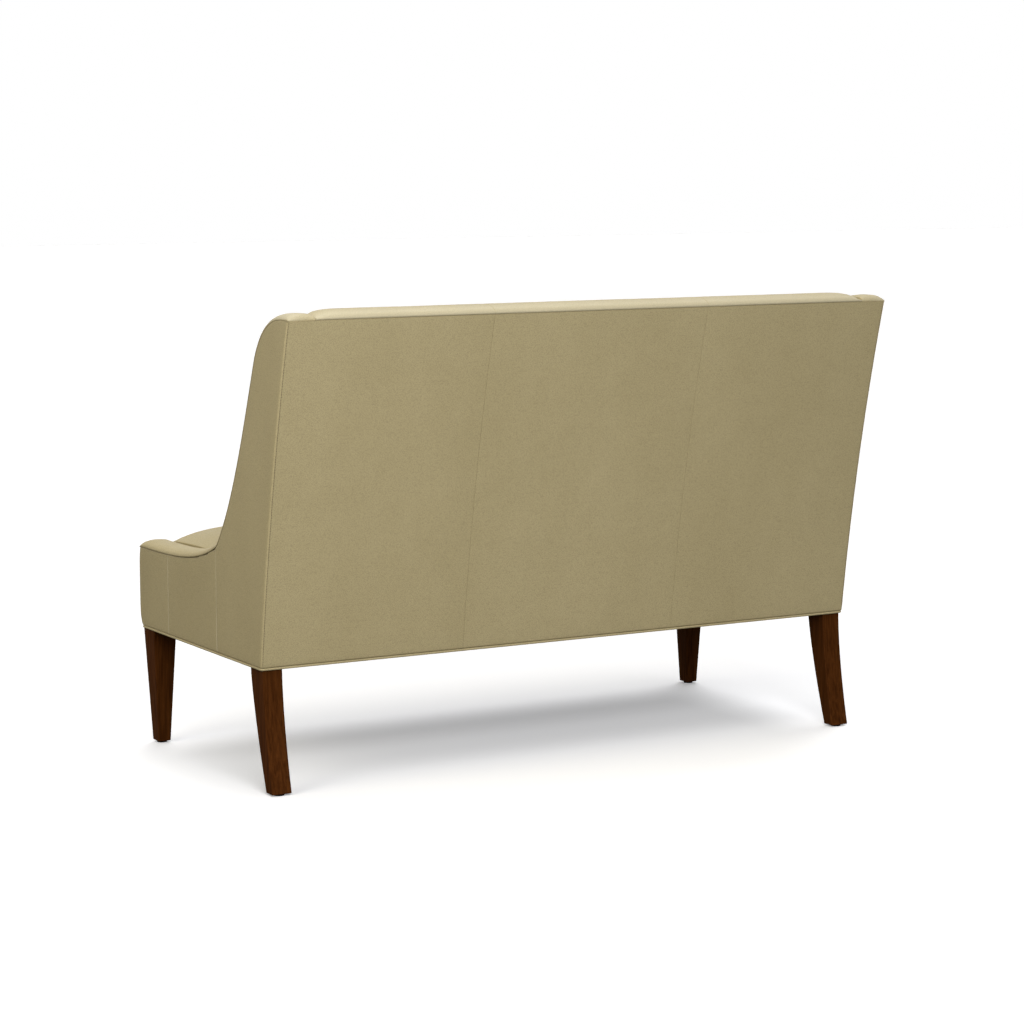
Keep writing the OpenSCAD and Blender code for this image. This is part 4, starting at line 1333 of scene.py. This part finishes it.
        def place(s: float, t: float) -> Vector:
            """Point of the leather, s running from the corner seam forwards."""
            z_rear = lerp(view.panel_z, view.seam_z, t)
            edge = Vector((view.rear_y(z_rear), z_rear))
            if s <= on_back:
                a = math.pi / 2 * s / on_back
                x = view.half_width - radius + radius * math.sin(a)
                return self.point(x, edge.x - radius + radius * math.cos(a), z_rear)
            share = (s - on_back) / (1 - on_back)
            p = (edge - Vector((radius, 0))).lerp(border.at(end * t), share)
            return self.point(view.half_width, *p)

        def strength(edge: Border, s: float, t: float) -> float:
            """How strongly a hem's painted shade shows: less where the wing meets the arm's side leather."""
            return 0.25 if edge is Border.S1 and border.at(end * t).x >= y_seam - mm(0.1) else 1.0

        return Panel(
            f"wing_leather_{self.side.label}",
            place,
            (self.wing_width, view.seam_z - view.panel_z),
            self.point(1, 0, 0),
            {Border.S0: CORNER_LIP, Border.S1: ROLL_SEAM, Border.T0: LOW_SEAM, Border.T1: TOP_SEAM},
            backing=FELT_DEPTH,
            cell=mm(12),
            strength=strength,
        ).build()

    def stitches(self) -> None:
        """Makes the row of stitches down the corner seam on the back."""
        view = self.view
        pitch, length, width = self.stitch
        mesh = bmesh.new()
        z = view.panel_z + mm(8)
        while z < view.seam_z - mm(8):
            ball = bmesh.ops.create_uvsphere(mesh, u_segments=6, v_segments=4, radius=0.5)
            out = view.rear_out(z)
            seat = self.point(view.half_width - CORNER_RETURN, view.rear_y(z), z)
            centre = seat - out * self.stitch_depth
            for vert in ball["verts"]:
                x, y, up = vert.co
                vert.co = centre + Vector((x * width, 0, 0)) + out * y * width
                vert.co += Vector((0, -out.z, out.y)) * up * length
            z += pitch
        bmesh.ops.recalc_face_normals(mesh, faces=mesh.faces)
        row = finish_piece(f"corner_stitches_{self.side.label}", mesh)
        row.data.materials.append(thread_material())


@dataclass
class EdgeWelt(Upholstery):
    """The leather piping round the body's lower edge."""

    corner: float = mm(6)
    arcs: int = 8
    ring: int = 14
    cell: float = mm(20)

    def stations(self, low: Vector, high: Vector, radius: float) -> list[Triple]:
        """Places along the piping.

        Args:
            low: Lower corner of the piping's box.
            high: Upper corner of the box.
            radius: Radius of the piping.

        Returns:
            X and Y of the centre that the piping turns round at each place, and its angle.
        """
        x = high.x - radius - self.corner
        y0, y1 = low.y + radius + self.corner, high.y - radius - self.corner
        route = [
            (cx, cy, math.radians(start + 90 * i / self.arcs))
            for cx, cy, start in ((x, y0, 270), (x, y1, 0), (-x, y1, 90), (-x, y0, 180))
            for i in range(self.arcs + 1)
        ]
        places = []
        for (cx, cy, a), (dx, dy, _) in zip(route, route[1:] + route[:1]):
            count = max(1, round(math.hypot(dx - cx, dy - cy) / self.cell))
            places += [(lerp(cx, dx, i / count), lerp(cy, dy, i / count), a) for i in range(count)]
        return places

    def build(self) -> None:
        """Makes the piping as one closed tube."""
        low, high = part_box("bottom_welt")
        radius, middle = (high.z - low.z) / 2, (high.z + low.z) / 2
        stations = self.stations(low, high, radius)
        mesh = bmesh.new()
        mesh.verts.layers.float.new("seam")
        for (i, j), vert in add_grid(mesh, len(stations) + 1, self.ring + 1).items():
            cx, cy, a = stations[i % len(stations)]
            b = 2 * math.pi * j / self.ring
            out = self.corner + radius * math.cos(b)
            x, y = cx + out * math.cos(a), cy + out * math.sin(a)
            vert.co = Vector((x, y, middle + radius * math.sin(b)))
        bmesh.ops.remove_doubles(mesh, verts=mesh.verts, dist=mm(0.01))
        bmesh.ops.recalc_face_normals(mesh, faces=mesh.faces)
        self.dress(finish_piece("edge_welt", mesh), 1.0, "bottom_welt")


@dataclass
class Legs:
    """The front legs, and the rear posts whose lower ends are the sabre legs."""

    view: SideView
    rear_kick: float = mm(40)
    rear_depth: float = mm(59)
    rear_foot: float = mm(30)
    kick_power: float = 1.6
    travel_power: float = 1.3
    post_back: float = mm(5)
    rail_front: float = mm(30)
    slim_above: float = mm(190)
    foot_width: float = mm(29.5)
    foot_depth: float = mm(32)
    eased: float = mm(1.6)
    cuts_below: int = 16
    cuts_above: int = 24

    def build(self) -> None:
        """Makes the four legs."""
        for side in Side:
            self.front(side)
            self.rear(side)

    def ease_edges(self, mesh: bmesh.types.BMesh, edges: Sequence[bmesh.types.BMEdge]) -> None:
        """Rounds some edges of a leg a little."""
        bmesh.ops.bevel(
            mesh, geom=edges, offset=self.eased, segments=3, affect="EDGES", profile=0.5, material=-1
        )

    def front(self, side: Side) -> None:
        """Makes a front leg: tapered below the body, with a stump for the rails above."""
        low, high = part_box(f"front_leg_{side.label}")
        rail_low, rail_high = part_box(f"side_seat_rail_{side.label}")
        low_z = self.view.low_z
        mid_x, mid_y = (low.x + high.x) / 2, (low.y + high.y) / 2
        mesh = bmesh.new()
        bmesh.ops.create_cube(mesh, size=1)
        for vert in mesh.verts:
            x, y, up = vert.co
            width, depth = (high.x - low.x, high.y - low.y) if up > 0 else (self.foot_width, self.foot_depth)
            vert.co = Vector((mid_x + x * width, mid_y + y * depth, low_z if up > 0 else low.z))
        self.ease_edges(mesh, mesh.edges[:])
        rail_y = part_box("front_seat_rail")[0].y
        add_block(mesh, (rail_low.x, rail_y, low_z), (rail_high.x, rail_low.y, high.z))
        self.dress(f"tapered_leg_{side.label}", mesh, f"front_leg_{side.label}")

    def rear(self, side: Side) -> None:
        """Makes a rear post with its sabre leg, in one piece."""
        low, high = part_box(f"back_post_{side.label}")
        root_z, rail_top = (corner.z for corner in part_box("rear_seat_rail"))
        view = self.view
        travel = self.rear_kick + self.rear_depth - self.rear_foot
        deep = view.rear_y(root_z) - self.post_back - self.rear_depth

        def rear_y(z: float) -> float:
            """Y of the rear face."""
            if z >= root_z:
                return view.rear_y(z) - self.post_back
            share = (root_z - z) / (root_z - low.z)
            return view.rear_y(root_z) - self.post_back + self.rear_kick * share**self.kick_power

        def front_y(z: float) -> float:
            """Y of the front face."""
            if z < root_z:
                return deep + travel * ((root_z - z) / (root_z - low.z)) ** self.travel_power
            if z <= rail_top:
                return deep
            slim = view.rear_y(rail_top + self.slim_above) - self.rail_front
            if z < rail_top + self.slim_above:
                return lerp(deep, slim, (z - rail_top) / self.slim_above)
            return view.rear_y(z) - self.rail_front

        mesh = bmesh.new()
        add_block(mesh, (low.x, -1, low.z), (high.x, 1, high.z))
        below = [lerp(low.z, root_z, i / self.cuts_below) for i in range(1, self.cuts_below + 1)]
        above = [lerp(root_z, high.z, i / self.cuts_above) for i in range(1, self.cuts_above)]
        for z in below + above:
            geom = mesh.verts[:] + mesh.edges[:] + mesh.faces[:]
            bmesh.ops.bisect_plane(mesh, geom=geom, plane_co=(0, 0, z), plane_no=(0, 0, 1))
        for vert in mesh.verts:
            vert.co.y = rear_y(vert.co.z) if vert.co.y > 0 else front_y(vert.co.z)
        mesh.normal_update()
        self.ease_edges(mesh, [e for e in mesh.edges if e.calc_face_angle(0) > math.radians(40)])
        self.dress(f"sabre_post_{side.label}", mesh, f"back_post_{side.label}")

    @staticmethod
    def dress(name: str, mesh: bmesh.types.BMesh, node: str) -> None:
        """Finishes a leg, smooth over its eased edges and flat on its faces.

        Args:
            name: The leg's name.
            mesh: Its finished bmesh.
            node: The frame's node that it stands for.
        """
        bmesh.ops.recalc_face_normals(mesh, faces=mesh.faces)
        leg = finish_piece(name, mesh)
        leg.modifiers.new("even_shading", "WEIGHTED_NORMAL").keep_sharp = True
        Slot.LEG_WOOD.dress(leg)
        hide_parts(node)


@dataclass
class DustCloth:
    """The black cloth under the seat, cut round the legs and tacked to the rails."""

    view: SideView
    thickness: float = mm(0.6)
    sag: float = mm(5)
    gap: float = mm(0.2)
    cut_gap: float = mm(1)
    rear_cut: float = mm(63)
    cell: float = mm(30)
    wave: float = 0.25
    wave_scale: float = 6

    def build(self) -> None:
        low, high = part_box("dust_cover")
        leg_low, leg_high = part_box("front_leg_left")
        leg_x, post_x = leg_low.x - self.cut_gap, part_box("back_post_left")[0].x - self.cut_gap
        front_cut, rear_cut = leg_high.y + self.cut_gap, self.view.heel_y - self.rear_cut
        xs = self.lines(low.x, high.x, (-leg_x, -post_x, post_x, leg_x))
        ys = self.lines(low.y, high.y, (front_cut, rear_cut))

        def round_leg(face: bmesh.types.BMFace) -> bool:
            """Whether a face lies where the cloth is cut out round a leg."""
            x, y, _ = face.calc_center_median()
            return (abs(x) > leg_x and y < front_cut) or (abs(x) > post_x and y > rear_cut)

        mesh = bmesh.new()
        for (i, j), vert in add_grid(mesh, len(xs), len(ys)).items():
            x, y = xs[i], ys[j]
            depth = (1 - (x / high.x) ** 2) * (1 - ((2 * y - low.y - high.y) / (high.y - low.y)) ** 2)
            wave = noise.noise(Vector((x * self.wave_scale, y * self.wave_scale, 0))) * self.wave + 1
            vert.co = Vector((x, y, high.z - self.gap - self.sag * depth * wave))
        bmesh.ops.delete(mesh, geom=[face for face in mesh.faces if round_leg(face)], context="FACES")
        area = sum(f.calc_area() for f in mesh.faces)
        bmesh.ops.recalc_face_normals(mesh, faces=mesh.faces)
        bmesh.ops.solidify(mesh, geom=mesh.faces[:], thickness=self.thickness)
        bmesh.ops.recalc_face_normals(mesh, faces=mesh.faces)
        cloth = finish_piece("dust_cloth", mesh)
        Slot.BLACK_CLOTH.dress(cloth)
        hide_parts("dust_cover")

    def lines(self, low: float, high: float, stops: Sequence[float]) -> list[float]:
        """Grid lines between two values that pass through some stops."""
        marks = [low, *sorted(stops), high]
        found = [low]
        for a, b in zip(marks, marks[1:]):
            count = max(1, round((b - a) / self.cell))
            found += [lerp(a, b, i / count) for i in range(1, count + 1)]
        return found


class InnerFrame:
    """The frame, springs and straps under the upholstery, kept from the CAD."""

    def dress(self) -> None:
        """Gives each kept node its slot's material."""
        slots = {slot.name.lower(): slot for slot in Slot}
        for name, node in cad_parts.items():
            if node.type != "MESH":
                continue
            for kept in node.material_slots:
                label = kept.material.name.split(".")[0] if kept.material else ""
                if label in slots:
                    kept.material = slots[label].material
                else:
                    log.warning("%s has no known slot: %s", name, label)


# Studio


@dataclass(frozen=True)
class FloorPaper(Finish):
    """Matt paper: white to the camera where it is lit, and grey to the light that it throws back."""

    name: str = "floor_paper"
    seen: str = "#F7F7F9"
    lit: str = "#7A7A7A"
    haze: float = 0.23

    def look(self, add: AddNode) -> dict[str, object]:
        """Builds the paper's nodes and gives the shader's inputs."""
        camera = add("LightPath").outputs["Is Camera Ray"]
        shade = add("Mix", {0: camera, 6: linear(self.lit), 7: linear(self.seen)}, data_type="RGBA")
        haze = add("Math", {0: camera, 1: self.haze}, operation="MULTIPLY")
        matt = {"Base Color": shade, "Roughness": 1.0, "Specular IOR Level": 0.0}
        return {**matt, "Emission Color": (1, 1, 1, 1), "Emission Strength": haze}


@dataclass(frozen=True)
class Studio:
    """Pale floor, soft light and the camera that took the picture."""

    eye: Vector = Vector((3.16562, 5.473, 1.32775))
    yaw: float = -0.52449
    pitch: float = 0.12853
    lens: float = 100.308
    sensor: float = 36
    sight: float = 100
    floor_size: float = 60.0
    ambient: float = 0.25
    white: Triple = (1, 1, 1)
    warm: Triple = (1, 0.92, 0.7)
    # Name, energy, spread in degrees, colour and direction of the light
    suns: tuple[tuple[str, float, float, Triple, Triple], ...] = (
        ("above", 1.35, 34, white, (0.35, 0.4, -1)),
        ("behind", 0.4, 40, white, (0, -0.3, -0.9)),
        ("beside", 0.62, 40, warm, (-0.85, -0.1, -0.55)),
    )
    # Name, energy in watts, size in metres, place and what it is aimed at
    panels: tuple[tuple[str, float, float, Triple, Triple], ...] = (
        ("fill", 132, 2.2, (1.45, 3.9, 2.2), (-0.1, 0.3, 0.6)),
        ("side", 11.5, 1.2, (2.5, 0.8, 2.0), (0.7, 0.2, 0.8)),
    )

    def build(self) -> None:
        """Sets up floor, light, world and camera."""
        self.camera()
        self.floor()
        self.lamps()
        self.world()
        bpy.context.scene.view_settings.view_transform = "Standard"

    @staticmethod
    def hang(name: str, data: bpy.types.ID, place: Vector, beam: Vector) -> bpy.types.Object:
        """Links a lamp or a camera.

        Args:
            name: The object's name.
            data: The lamp or camera.
            place: Where it hangs.
            beam: Direction that it looks or shines in.

        Returns:
            The new object.
        """
        made = bpy.data.objects.new(name, data)
        made.location = place
        made.rotation_euler = beam.to_track_quat("-Z", "Y").to_euler()
        bpy.context.scene.collection.objects.link(made)
        return made

    def camera(self) -> None:
        """Places the camera at the photograph's angle."""
        data = bpy.data.cameras.new("camera")
        data.lens = self.lens
        data.sensor_width = self.sensor
        data.clip_end = self.sight
        level = math.cos(self.pitch)
        gaze = Vector((math.sin(self.yaw) * level, -math.cos(self.yaw) * level, -math.sin(self.pitch)))
        bpy.context.scene.camera = self.hang("camera", data, self.eye, gaze)

    def floor(self) -> None:
        """Makes the floor."""
        mesh = bmesh.new()
        bmesh.ops.create_grid(mesh, x_segments=1, y_segments=1, size=self.floor_size / 2)
        data = bpy.data.meshes.new("floor")
        mesh.to_mesh(data)
        mesh.free()
        floor = bpy.data.objects.new("floor", data)
        bpy.context.scene.collection.objects.link(floor)
        data.materials.append(FloorPaper().material())
        floor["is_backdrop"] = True

    def lamps(self) -> None:
        """Hangs three broad soft lights above, and soft panels at the back and the left side."""
        for name, energy, spread, colour, beam in self.suns:
            sun = bpy.data.lights.new(name, "SUN")
            sun.energy = energy
            sun.angle = math.radians(spread)
            sun.color = colour
            self.hang(name, sun, Vector((0, 0, 4)), Vector(beam))
        for name, energy, size, place, aim in self.panels:
            panel = bpy.data.lights.new(name, "AREA")
            panel.energy = energy
            panel.size = size
            self.hang(name, panel, Vector(place), Vector(aim) - Vector(place))

    def world(self) -> None:
        """Lights softly from all round, and shows white behind the object."""
        world = bpy.data.worlds.new("studio")
        bpy.context.scene.world = world
        world.use_nodes = True
        world.node_tree.nodes.clear()
        add = partial(add_node, world.node_tree)
        rays = add("LightPath").outputs
        shown = add("Math", {0: rays["Is Camera Ray"], 1: rays["Is Glossy Ray"]}, operation="MAXIMUM")
        straight = add("Math", {0: shown, 1: rays["Is Transmission Ray"]}, operation="MAXIMUM")
        soft = add("Background", {"Color": (1, 1, 1, 1), "Strength": self.ambient})
        white = add("Background", {"Color": (1, 1, 1, 1), "Strength": 1.0})
        add("OutputWorld", {"Surface": add("MixShader", {0: straight, 1: soft, 2: white})})


def write_sizes() -> None:
    """Works out the CAD's box and the dressed model's box."""
    boxes = {"cad": CAD_BOUNDS, "visual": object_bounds()}
    {name: [list(corner) for corner in box] for name, box in boxes.items()}


def main() -> None:
    """Dresses the banquette from its frame outwards and sets up the studio."""
    logging.basicConfig(level=logging.INFO, format="%(name)s %(message)s")
    view = SideView.from_frame()
    InnerFrame().dress()
    Legs(view).build()
    DustCloth(view).build()
    SeatPad(view).build()
    BackPad(view).build()
    for side in Side:
        ArmAndWing(view, side).build()
    BackLeathers(view).build()
    EdgeWelt().build()
    FILLING.settle()
    Studio().build()
    write_sizes()


if __name__ == "__main__":
    main()
